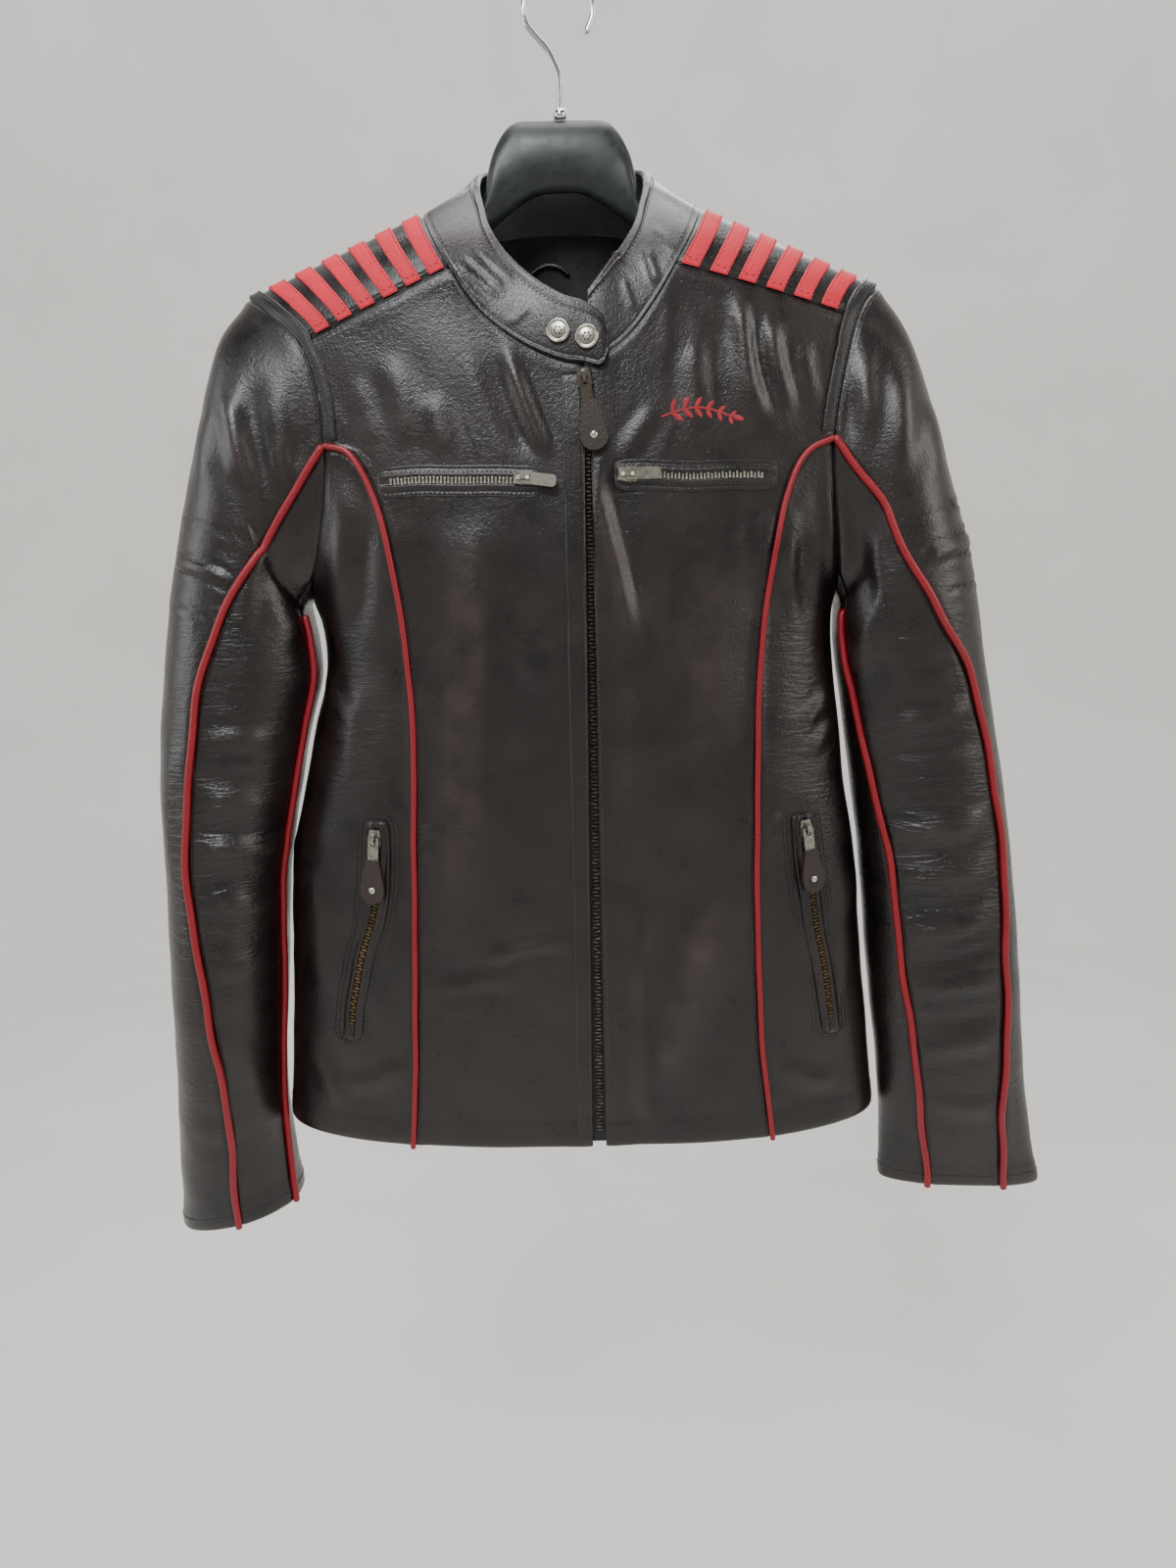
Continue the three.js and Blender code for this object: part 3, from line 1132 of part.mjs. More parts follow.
function allZipHardware() {
  zipHardware({
    label: (part) => `front_${part}`,
    x: FRONT_SLIDER_X,
    z: FRONT_SLIDER_Z,
    sliderTurn: FRONT_PULL_TURN,
    pullTurn: FRONT_PULL_TURN,
    lean: PULL_LEAN.tabbed,
    metal: MATERIALS.brass,
    tabbed: true,
  });
  for (const side of Object.keys(SIDES)) {
    zipHardware({
      label: (part) => `hand_${part}_${side}`,
      x: columnAt(HAND_ZIP_ROWS[side], "z", HAND_SLIDER_Z, "x"),
      z: HAND_SLIDER_Z,
      sliderTurn: HAND_PULL_TURN[side],
      pullTurn: HAND_PULL_TURN[side],
      lean: PULL_LEAN.tabbed,
      metal: MATERIALS.brass,
      tabbed: true,
    });
    const chest = CHEST_ZIPS[side];
    zipHardware({
      label: (part) => `chest_${part}_${side}`,
      x: chest.sliderX,
      z: chest.z,
      sliderTurn: CHEST_SLIDER_TURN,
      pullTurn: CHEST_SLIDER_TURN + chest.pullTurn,
      lean: PULL_LEAN[side],
      metal: MATERIALS.nickel,
      tabbed: false,
    });
  }
}

function collarSnaps() {
  const { radius, thick, places } = SNAP;
  const rounded = [[radius, thick * 0.55], [radius * 0.9, thick * 0.9], [radius * 0.6, thick]];
  const profile = [[0, 0], [radius, 0], ...rounded, [0, thick]]
    .map(([r, h]) => new THREE.Vector2(r, h));
  places.forEach(({ x, z, seat }, k) => {
    const geometry = new THREE.LatheGeometry(profile, 24);
    const face = collarFace[2][1];
    const across = vec(0, 0, 0).subVectors(collarFace[0][1], collarFace[4][1]).normalize();
    const up = vec(0, 0, 0).subVectors(collarFace[2][2], collarFace[2][0]).normalize();
    const out = vec(0, 0, 0).crossVectors(across, up).normalize();
    if (out.y > 0) out.negate();
    const side = vec(0, 0, 0).crossVectors(out, up);
    const level = face.y - (out.x * (x - face.x) + out.z * (z - face.z)) / out.y;
    const frame = new THREE.Matrix4().makeBasis(side, out, up);
    frame.setPosition(vec(x, level, z).addScaledVector(out, seat));
    place(`collar_snap_${k + 1}`, geometry, frame, MATERIALS.nickel);
  });
}

// ---------- hanger ----------

function hangerBody() {
  const around = 16;
  const rows = [...HANGER_ROWS.slice(1).reverse().map((row) => ({ ...row, x: -row.x })), ...HANGER_ROWS];
  const points = [];
  for (const row of rows) {
    const middle = (row.top + row.low) / 2;
    const half = (row.top - row.low) / 2;
    for (let k = 0; k < around; k++) {
      const angle = 2 * Math.PI * k / around;
      points.push(vec(row.x, row.half * Math.sin(angle), middle + half * Math.cos(angle)));
    }
  }
  const triangles = [];
  for (let i = 0; i < rows.length - 1; i++) {
    for (let k = 0; k < around; k++) {
      const a = i * around + k;
      const b = i * around + (k + 1) % around;
      triangles.push([a, b, b + around], [a, b + around, a + around]);
    }
  }
  const last = (rows.length - 1) * around;
  for (let k = 1; k < around - 1; k++) {
    triangles.push([0, k + 1, k], [last, last + k, last + k + 1]);
  }
  addNode("hanger_body", geometryOf(points, triangles), MATERIALS.plastic);
}

function hangerHook() {
  const radius = HOOK_WIRE / 2;
  const centreZ = radius - HOOK_RADIUS;
  const arc = Array.from({ length: 9 }, (_, k) => {
    const angle = radians(lerp(HOOK_ARC.from, HOOK_ARC.to, k / 8));
    return vec(HOOK_RADIUS * Math.cos(angle), 0, centreZ + HOOK_RADIUS * Math.sin(angle));
  });
  const stem = HOOK_STEM_ROWS.map((row) => vec(row.x, 0, row.z));
  const route = [...stem, ...arc];
  const path = new THREE.CatmullRomCurve3(route, false, "centripetal");
  const section = new THREE.Shape();
  section.absarc(0, 0, radius, 0, 2 * Math.PI, false);
  const extrusion = { steps: 40, curveSegments: 5, extrudePath: path };
  const wire = new THREE.ExtrudeGeometry(section, extrusion);
  const { wide, narrow, shoulder, high } = FERRULE;
  const profile = [[0, 0], [wide, 0], [wide, shoulder], [narrow, high], [0, high]];
  const ferrule = new THREE.LatheGeometry(profile.map(([r, h]) => new THREE.Vector2(r, h)), 16);
  ferrule.rotateX(Math.PI / 2);
  ferrule.translate(0, 0, STEM_FOOT_Z + SEAM_GAP);
  addNode("hanger_hook", geometryFrom(solidOf(wire).add(solidOf(ferrule))), MATERIALS.chrome);
}

// ---------- the whole ----------

for (const side of Object.keys(SIDES)) {
  frontCenter(side);
  frontSide(side);
  shoulderPanel(side);
  for (const panel of ["outer", "front", "under"]) sleevePanel(side, panel);
  armholeBand(side);
  frontPiping(side);
  sleevePiping(side, "outer");
  sleevePiping(side, "inner");
  chestZip(side);
  handZip(side);
}
const backWall = backPanel();
collar();
collarSnaps();
neckFacing(backWall);
placket();
frontZip();
allZipHardware();
hangerBody();
hangerHook();

export default jacket;
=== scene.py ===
"""A leather riding jacket on its hanger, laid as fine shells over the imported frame.

Working lengths are millimetres in the frame's axes: +X the wearer's left, +Y the back, +Z up.
"""
import math
import bpy
import numpy as np
from mathutils import Matrix, Vector


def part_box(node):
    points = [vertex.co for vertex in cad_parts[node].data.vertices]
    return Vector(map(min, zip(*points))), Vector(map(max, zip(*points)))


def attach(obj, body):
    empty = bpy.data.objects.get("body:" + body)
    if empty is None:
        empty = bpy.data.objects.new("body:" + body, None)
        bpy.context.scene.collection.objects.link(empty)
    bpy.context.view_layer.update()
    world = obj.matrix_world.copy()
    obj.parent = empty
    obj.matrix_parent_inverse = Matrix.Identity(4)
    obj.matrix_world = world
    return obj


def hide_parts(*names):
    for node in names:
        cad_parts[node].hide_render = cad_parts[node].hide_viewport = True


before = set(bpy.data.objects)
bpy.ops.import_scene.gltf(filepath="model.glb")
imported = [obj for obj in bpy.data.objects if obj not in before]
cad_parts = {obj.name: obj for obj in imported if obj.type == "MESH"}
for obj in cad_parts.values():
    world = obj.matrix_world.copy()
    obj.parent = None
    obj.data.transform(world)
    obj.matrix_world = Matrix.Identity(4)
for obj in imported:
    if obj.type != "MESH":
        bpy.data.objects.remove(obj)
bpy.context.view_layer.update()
BODY = "jacket_on_hanger"
MM = 0.001
SIDES = {"right": -1, "left": 1}
LEATHER, COLLAR_WALL = 1.9, 2.8


def table(names, *rows):
    """A table with named columns."""
    return dict(zip(names.split(), np.array(rows, float).T))


# ---------------------------------------------------------------- sizes

TORSO = table(
    "z right left front back",
    (-100, 236, 238, 47, 44), (-190, 234, 236, 50, 47), (-250, 224, 228, 55, 54),
    (-289, 215, 221, 58, 59), (-345, 196, 203, 61, 63), (-370, 184, 190, 61, 63),
    (-385, 175, 180, 61, 63), (-410, 169, 178, 61, 62), (-437, 169, 180, 61, 61),
    (-467, 177, 184, 61, 59), (-519, 189, 190, 62, 57), (-561, 199, 197, 62, 56),
    (-663, 206, 206, 60, 54), (-770, 213, 216, 56, 52))
ARMHOLE = table(
    "z right left back",
    (-190, 207, 205, 206), (-193, 202, 202, 203), (-200, 192, 194, 196), (-214, 176, 186, 184),
    (-230, 163, 181, 177), (-254, 156, 176, 171), (-289, 154, 171, 168), (-320, 156, 172, 168),
    (-345, 161, 174, 168), (-372, 170, 178, 171), (-385, 175, 180, 175))
ARM_TOP, ARM_LOW = -190, -385
SHOULDER_FRONT = {"right": 50, "left": 41}
SHOULDER_BACK, SLEEVE_BACK = -44, -110
PRINCESS = {
    "right": table("z x", (-287.5, 154), (-293, 137), (-316, 124), (-352, 115), (-409, 107),
                   (-473, 104), (-545, 106), (-620, 109), (-695, 112), (-764, 117)),
    "left": table("z x", (-287.5, 171), (-298, 152), (-320, 141), (-360, 132), (-413, 125),
                  (-475, 122), (-545, 122), (-620, 123), (-695, 127), (-764, 135)),
}
NECK_FRONT = table("x z", (-70, -183), (-53, -207), (-29, -226), (-4, -238), (12, -241),
                   (24, -237), (47, -217), (70, -183))
NECK_STOPS = {"right": [12, -4, -29, -53], "left": [16, 29, 43, 57]}
NECK_RIDGE = table("k fold x", (0, 90, 70), (1, 58, 81.5), (2, 28, 87.5), (3, 0, 89.5),
                   (4, -15, 88), (5, -29, 83), (6, -42, 74))
NECK_BACK_STOPS, NECK_BACK_Z = [50, 25, 0], -147
ZIP_EDGE = table("z right left", (-241, 12.5, 15.5), (-764, 9, 18))
HEM_FRONT, HEM_BACK, HEM_SIDE = -764, -768, -757
COLLAR_TOP = table(
    "x y z proud", (-11, -56, -205, 4.2), (1, -54.5, -201, 3.2), (19, -48, -189, 0.6),
    (35, -42, -173, 0), (45, -34, -156, 0), (49, -22, -141, 0), (52.5, -9, -127, 0),
    (54, 5, -117, 0), (53.5, 16, -110, 0), (50, 26, -106, 0), (43, 34, -104, 0),
    (29, 40, -103, 0), (15, 43, -103, 0), (0, 44, -103, 0))
COLLAR_LEFT_FRONT = [(15, -49.5, -198), (24, -48, -187), (33, -44, -175)]
COLLAR_TAB = [((27.5, -59.8, -238), (27, -57, -217)), ((22, -60.2, -243.5), (20, -56.5, -210))]
RINGS = {
    "right": table(
        "ox oz ix iz y depth outer inner",
        (226, -217, 180, -391, 0, 50, 115, 158), (241, -266, 178, -400, -2, 50, 106, 160),
        (255, -318, 174, -416, -4, 50, 94, 160), (266, -370, 173, -440, -6, 51, 84, 161),
        (276, -430, 182, -470, -7, 53, 76, 164), (283, -495, 191, -510, -8, 55, 75, 165),
        (285, -575, 204, -575, -8, 55, 75, 166), (287, -655, 210, -655, -8, 54, 89, 171),
        (291, -740, 216, -738, -8, 47, 101, 171), (296, -837, 208, -818, -8, 37, 97, 158)),
    "left": table(
        "ox oz ix iz y depth outer inner",
        (223, -217, 184, -391, 0, 50, 103, 160), (241, -266, 183, -400, -2, 50, 98, 160),
        (257, -318, 182, -416, -4, 50, 90, 160), (272, -370, 184, -440, -5, 48, 79, 157),
        (283, -430, 188, -470, -5, 44, 60, 150), (295, -495, 193, -510, -5, 42, 47, 142),
        (308, -575, 202, -572, -5, 41, 47, 134), (317, -655, 209, -650, -5, 39, 51, 128),
        (326, -740, 219, -735, -5, 30, 58, 122), (341, -822, 222, -816, -5, 16, 64, 115)),
}
CHEST = {"right": (-119, -16, -311, -27, -8), "left": (30, 133, -310, 38, 2)}
HAND = {
    "right": table("z x half", (-529, -131, 8), (-566, -133, 9), (-600, -138, 9),
                   (-630, -147, 8.5), (-660, -154, 8), (-686, -158, 7)),
    "left": table("z x half", (-531, 153, 8), (-566, 157, 9), (-600, 163, 9),
                  (-630, 169, 8.5), (-660, 174, 8), (-690, 177, 7)),
}

# ---------------------------------------------------------------- curves and surfaces


def column(rows, key, value, name):
    """One column of a table, smoothly interpolated along its key column."""
    keys, col = rows[key], rows[name]
    if keys[-1] < keys[0]:
        keys, col = keys[::-1], col[::-1]
    last = len(keys) - 1
    low, high = np.maximum(np.arange(last + 1) - 1, 0), np.minimum(np.arange(last + 1) + 1, last)
    slope = (col[high] - col[low]) / (keys[high] - keys[low])
    v = np.asarray(value, float)
    i = np.clip(np.searchsorted(keys, v, side="right") - 1, 0, last - 1)
    span = keys[i + 1] - keys[i]
    t = np.clip((v - keys[i]) / span, 0, 1)
    return (col[i] * (2 * t**3 - 3 * t**2 + 1) + col[i + 1] * (3 * t**2 - 2 * t**3)
            + slope[i] * span * (t**3 - 2 * t**2 + t) + slope[i + 1] * span * (t**3 - t**2))


def through(points, place):
    """A smooth curve through evenly counted stations; points may be (stations, n, 3)."""
    points = np.asarray(points, float)
    last = len(points) - 1
    place = np.asarray(place, float)
    i = np.minimum(np.floor(place).astype(int), last - 1)
    t = (place - i).reshape(place.shape + (1,) * (points.ndim - 1))
    first = (i > 0).reshape(t.shape)
    final = (i + 2 <= last).reshape(t.shape)
    p0, p1 = points[np.maximum(i - 1, 0)], points[i]
    p2, p3 = points[i + 1], points[np.minimum(i + 2, last)]
    leave = (p2 - p0) / np.where(first, 2, 1)
    arrive = (p3 - p1) / np.where(final, 2, 1)
    return (p1 * (2 * t**3 - 3 * t**2 + 1) + p2 * (3 * t**2 - 2 * t**3)
            + leave * (t**3 - 2 * t**2 + t) + arrive * (t**3 - t**2))


def unit(v):
    return v / np.maximum(np.linalg.norm(v, axis=-1, keepdims=True), 1e-9)


def smooth(t):
    t = np.clip(t, 0, 1)
    return t * t * (3 - 2 * t)


def ridge_z(x):
    return -141 - 0.42 * (np.abs(x) - 90)


def half_width(x, z):
    return np.where(np.asarray(x) < 0, column(TORSO, "z", z, "right"),
                    column(TORSO, "z", z, "left"))


def torso(x, z, face):
    """The body's surface over a place in its front (-1) or back (+1) view."""
    x, z = np.broadcast_arrays(np.asarray(x, float), np.asarray(z, float))
    across = np.minimum(np.abs(x) / half_width(x, z), 1)
    below = np.clip((ridge_z(x) - z) / 50, 0, 1)
    cap = np.sqrt(1 - (1 - below) ** 2)
    depth = column(TORSO, "z", z, "front" if face < 0 else "back")
    return np.stack([x, face * depth * (1 - across**2.5) ** 0.4 * cap, z], -1)


def turn_of(p):
    return np.arcsin(np.clip(p[..., 0] / half_width(p[..., 0], p[..., 2]), -1, 1))


def turned(turn, z, face):
    return torso(half_width(turn, z) * np.sin(turn), z, face)


def fold_of(p):
    """Angle round the shoulder ridge: positive in front, negative behind."""
    drop = ridge_z(p[..., 0]) - p[..., 2]
    bend = np.degrees(np.arccos(1 - np.clip(drop / 50, 0, 1)) + np.maximum(drop - 50, 0) / 50)
    return bend * np.where(p[..., 1] > 0.01, -1, 1)


def ridge(x, fold):
    bend = np.radians(np.minimum(np.abs(fold), 90))
    past = np.maximum(np.radians(np.abs(fold) - 90), 0) * 50
    z = ridge_z(x) - 50 * (1 - np.cos(bend)) - past
    return np.where((fold > 0)[..., None], torso(x, z, -1), torso(x, z, 1))


def hem_z(x, face):
    middle = HEM_FRONT if face < 0 else HEM_BACK
    return middle + (HEM_SIDE - middle) * np.clip(np.abs(x) / 210, 0, 1) ** 4


def armhole_table(side):
    f = SHOULDER_FRONT[side]
    angles = [-180, -157, -134, -110, -76, -44, -44 * 2 / 3, -44 / 3, 0, f / 3, f * 2 / 3, f,
              (f + 90) / 2, 90, 110, 130, 150, 180]
    points = []
    for a in angles:
        z = (ARM_TOP + ARM_LOW) / 2 + (ARM_TOP - ARM_LOW) / 2 * math.cos(math.radians(a))
        face = -1 if a >= 0 else 1
        x = float(column(ARMHOLE, "z", z, side if face < 0 else "back"))
        p = torso(SIDES[side] * x, z, face)
        if a == 0:
            tip = ARMHOLE[side][0]
            p = np.array([SIDES[side] * tip, 0, ridge_z(tip)])
        if abs(a) == 180:
            p = np.array([SIDES[side] * float(half_width(SIDES[side], ARM_LOW)), 0, ARM_LOW])
        points.append(p)
    rows = [(a - 360, *p) for a, p in zip(angles[-3:-1], points[-3:-1])]
    rows += [(a, *p) for a, p in zip(angles, points)]
    rows += [(a + 360, *p) for a, p in zip(angles[1:3], points[1:3])]
    return table("a x y z", *rows)


ARM_TABLES = {side: armhole_table(side) for side in SIDES}


def armhole(side, angle):
    """The armhole seam by angle: 0 the shoulder tip, 90 the front, 180 the underarm."""
    angle = np.asarray(angle, float)
    angle = np.where(angle > 180, angle - 360, np.where(angle < -180, angle + 360, angle))
    return np.stack([column(ARM_TABLES[side], "a", angle, k) for k in "xyz"], -1)


def shoulder_angle(side, r):
    r = np.asarray(r, float)
    return np.where(r <= 3, SHOULDER_FRONT[side] * (3 - r) / 3, SHOULDER_BACK * (r - 3) / 3)


def shoulder_raw(side, r, part):
    end = armhole(side, shoulder_angle(side, r))
    x = column(NECK_RIDGE, "k", r, "x")
    x = SIDES[side] * (x + (np.abs(end[..., 0]) - x) * part)
    fold = column(NECK_RIDGE, "k", r, "fold")
    return ridge(x, fold + (fold_of(end) - fold) * part), end


def neck_points(side):
    """The neckline's stations: from the zip over the shoulder to the middle of the back."""
    front = [torso(x, column(NECK_FRONT, "x", x, "z"), -1) for x in NECK_STOPS[side]]
    over = [shoulder_raw(side, np.float64(k), np.float64(0))[0] for k in range(7)]
    back = [torso(SIDES[side] * x, NECK_BACK_Z, 1) for x in NECK_BACK_STOPS]
    return np.array(front + over + back)


NECKS = {side: neck_points(side) for side in SIDES}


def shoulder(side, r, part):
    """A point of the shoulder panel: r 0 in front to 6 behind, part 0 at the neck."""
    r, part = np.broadcast_arrays(np.asarray(r, float), np.asarray(part, float))
    raw, end = shoulder_raw(side, r, part)
    start_gap = through(NECKS[side], 4 + r) - shoulder_raw(side, r, np.zeros_like(part))[0]
    end_gap = end - shoulder_raw(side, r, np.ones_like(part))[0]
    return raw + start_gap * (1 - part[..., None]) ** 4 + end_gap * part[..., None] ** 4


def places(points, step, near_start=(), near_end=()):
    """Fractional places along stations, about step apart, with extra ones near the ends."""
    run = np.r_[0, np.cumsum(np.linalg.norm(np.diff(points, axis=0), axis=1))]
    total = run[-1]
    count = max(3, int(round(total / step)))
    s = np.linspace(0, total, count + 1)[1:-1]
    first = max(near_start, default=0) + step * 0.55
    last = total - max(near_end, default=0) - step * 0.55
    s = s[(s > first) & (s < last)]
    ends = [total - d for d in sorted(near_end, reverse=True)]
    s = np.concatenate([[0], sorted(near_start), s, ends, [total]])
    return np.interp(s, run, np.arange(len(points)))


def patch(face, bottom, top, start, finish):
    """A patch of the body between four edges of equal counts, filled in (turn, z)."""
    def flat(p):
        return np.stack([turn_of(p), p[..., 2]], -1)

    def mixed(b, t, s, f, u, v):
        return ((1 - v) * b + v * t + (1 - u) * s + u * f
                - (1 - u) * (1 - v) * b[:, :1] - u * (1 - v) * b[:, -1:]
                - (1 - u) * v * t[:, :1] - u * v * t[:, -1:])
    (bottom, u), (top, _), (start, v), (finish, _) = bottom, top, start, finish
    u, v = u[None, :, None], v[:, None, None]
    m = mixed(flat(bottom)[None], flat(top)[None], flat(start)[:, None], flat(finish)[:, None],
              u, v)
    p = turned(m[..., 0], m[..., 1], face)
    gaps = [bottom - p[0], top - p[-1], start - p[:, 0], finish - p[:, -1]]
    gaps[2][[0, -1]] = 0
    gaps[3][[0, -1]] = 0
    p += gaps[0][None] * (1 - v) ** 6 + gaps[1][None] * v**6
    p += gaps[2][:, None] * (1 - u) ** 6 + gaps[3][:, None] * u**6
    return p


def front(x, z):
    return torso(x, z, -1)


def shell_ends(step):
    return (0.6, 1.4, 2.6) if step < 4 else (1.2,)


def arc_places(curve, first, last, step, near_start=(), near_end=()):
    """Parameters between first and last whose points on the curve lie about step apart."""
    fine = np.linspace(first, last, 161)
    at = places(curve(fine), step, near_start, near_end)
    return np.interp(at, np.arange(161), fine)


# ---------------------------------------------------------------- creases

# Each crease is a soft ridge (or, with a negative height, a trough) along a short line of
# places (x, z) on the front, with its half width and height.
CREASES_FRONT = [
    # the wearer's right sleeve cap and shoulder
    ([(-215, -252), (-210, -278), (-204, -317)], 5.5, 2.6),
    ([(-194, -241), (-196, -279), (-185, -326)], 5.5, -2.4),
    ([(-185, -253), (-179, -283), (-185, -321)], 5.0, 2.0),
    ([(-170, -279), (-172, -292), (-174, -306)], 5.0, -1.8),
    ([(-232, -262), (-234, -290), (-229, -312)], 6.0, 1.3),
    ([(-175, -349), (-178, -385), (-186, -421)], 6.0, 2.2),
    ([(-190, -352), (-197, -383), (-203, -410)], 5.5, -1.6),
    # the right front
    ([(-143, -302), (-145, -345), (-157, -406)], 9.0, 2.2),
    ([(-132, -330), (-133, -368), (-141, -412)], 7.0, -1.4),
    ([(-39, -223), (-21, -276), (-10, -297)], 4.5, 2.8),
    ([(-51, -232), (-36, -272), (-24, -298)], 6.5, -1.5),
    ([(-66, -330), (-63, -378), (-73, -505), (-75, -639)], 18.0, 3.4),
    ([(-40, -345), (-42, -430), (-46, -520)], 12.0, -1.6),
    ([(-86, -258), (-80, -276), (-76, -297)], 7.0, 1.5),
    ([(-110, -232), (-103, -262), (-99, -292)], 8.0, 1.4),
    ([(-133, -246), (-125, -268), (-120, -290)], 6.5, 1.2),
    ([(-62, -625), (-32, -617), (-2, -612)], 4.0, 1.3),
    ([(-98, -648), (-66, -641), (-38, -640)], 5.0, 0.9),
    ([(-88, -533), (-98, -537), (-105, -543)], 3.2, 1.2),
    ([(-92, -548), (-99, -551), (-105, -556)], 3.0, 0.9),
    ([(-138, -440), (-147, -472), (-151, -512)], 8.0, 1.6),
    ([(-168, -430), (-160, -452), (-147, -466)], 5.0, 1.7),
    ([(-171, -449), (-163, -466), (-152, -477)], 4.0, 1.2),
    ([(-186, -560), (-178, -610), (-182, -668)], 10.0, 1.6),
    ([(-121, -700), (-140, -716), (-168, -722)], 6.0, 1.3),
    ([(-196, -690), (-180, -712), (-170, -740)], 7.0, 1.2),
    # the left front
    ([(107, -196), (111, -222), (115, -255), (127, -285)], 5.0, 2.4),
    ([(131, -217), (133, -240), (145, -274)], 4.5, 2.2),
    ([(120, -206), (122, -236), (134, -278)], 4.0, -1.9),
    ([(150, -228), (152, -246), (159, -270)], 4.5, 1.4),
    ([(96, -214), (94, -240), (103, -280)], 6.0, -1.3),
    ([(84, -228), (80, -252), (84, -286)], 7.0, 1.5),
    ([(112, -202), (126, -252), (138, -302)], 9.0, 0.9),
    ([(21, -289), (18, -322), (25, -345), (35, -388), (42, -440)], 5.5, 3.4),
    ([(42, -440), (36, -486), (33, -530)], 6.5, 1.8),
    ([(34, -300), (36, -342), (50, -400)], 7.5, -1.7),
    ([(58, -268), (44, -285), (36, -300)], 5.0, 1.3),
    ([(128, -332), (127, -347), (126, -361)], 6.0, 2.2),
    ([(142, -328), (141, -352), (144, -388)], 6.5, 1.8),
    ([(152, -345), (153, -376), (160, -410)], 5.5, -1.5),
    ([(43, -573), (41, -660), (41, -719), (49, -748)], 5.0, 2.4),
    ([(53, -590), (51, -660), (52, -725)], 5.0, -1.4),
    ([(97, -574), (76, -650), (53, -727)], 15.0, 3.6),
    ([(106, -345), (94, -420), (91, -505)], 16.0, 2.6),
    ([(72, -350), (66, -430), (64, -520)], 10.0, -1.3),
    ([(139, -530), (130, -536), (123, -541)], 3.2, 1.3),
    ([(138, -548), (131, -552), (124, -555)], 3.0, 0.9),
    ([(175, -448), (166, -462), (152, -474)], 4.5, 1.7),
    ([(178, -466), (168, -482), (158, -492)], 4.0, 1.1),
    ([(192, -566), (186, -620), (190, -676)], 9.0, 1.6),
    ([(140, -706), (160, -722), (186, -726)], 6.0, 1.3),
    # the left sleeve's cap and its diagonals
    ([(191, -229), (190, -255), (194, -285)], 5.5, 2.3),
    ([(182, -255), (179, -274), (177, -293)], 4.5, -1.9),
    ([(212, -246), (214, -276), (211, -308)], 7.0, 1.6),
    ([(234, -262), (238, -290), (236, -318)], 7.0, 1.2),
    ([(170, -305), (173, -342), (182, -382), (191, -432)], 6.0, 2.4),
    ([(186, -330), (191, -366), (199, -402)], 5.0, -1.6),
    ([(203, -383), (195, -415), (186, -446)], 5.5, 1.9),
    ([(216, -396), (208, -424), (197, -458)], 5.0, -1.2),
    # across the elbows
    ([(-245, -475), (-222, -473), (-194, -476)], 5.5, 2.0),
    ([(-250, -494), (-224, -497), (-196, -499)], 5.0, -1.7),
    ([(-248, -514), (-222, -515), (-197, -522)], 5.5, 2.2),
    ([(-252, -531), (-226, -534), (-200, -540)], 5.0, -1.7),
    ([(-250, -547), (-222, -547), (-192, -555)], 5.5, 2.3),
    ([(-252, -564), (-226, -568), (-203, -577)], 5.0, -1.6),
    ([(-246, -581), (-226, -586), (-202, -596)], 5.5, 2.0),
    ([(-250, -603), (-228, -609), (-206, -617)], 5.5, -1.4),
    ([(-246, -626), (-222, -631), (-198, -637)], 6.0, 1.6),
    ([(-262, -470), (-270, -520), (-272, -572)], 8.0, 1.5),
    ([(-250, -664), (-236, -690), (-226, -722)], 8.0, 1.3),
    ([(-232, -742), (-252, -750), (-274, -748)], 7.0, 1.0),
    ([(206, -473), (238, -469), (270, -461)], 6.0, 2.1),
    ([(206, -492), (240, -490), (276, -483)], 5.0, -1.5),
    ([(208, -546), (246, -543), (286, -534)], 6.0, 2.3),
    ([(212, -563), (250, -560), (286, -551)], 5.0, -1.7),
    ([(215, -580), (252, -578), (288, -568)], 5.5, 2.2),
    ([(220, -602), (256, -597), (290, -586)], 5.0, -1.6),
    ([(223, -622), (258, -615), (289, -603)], 5.5, 2.1),
    ([(226, -640), (260, -636), (294, -628)], 5.0, -1.5),
    ([(228, -658), (262, -657), (298, -652)], 6.0, 1.9),
    ([(232, -684), (264, -682), (300, -676)], 6.0, -1.3),
    ([(232, -708), (266, -703), (300, -695)], 6.5, 1.6),
    ([(244, -742), (272, -752), (306, -752)], 7.0, 1.1),
]
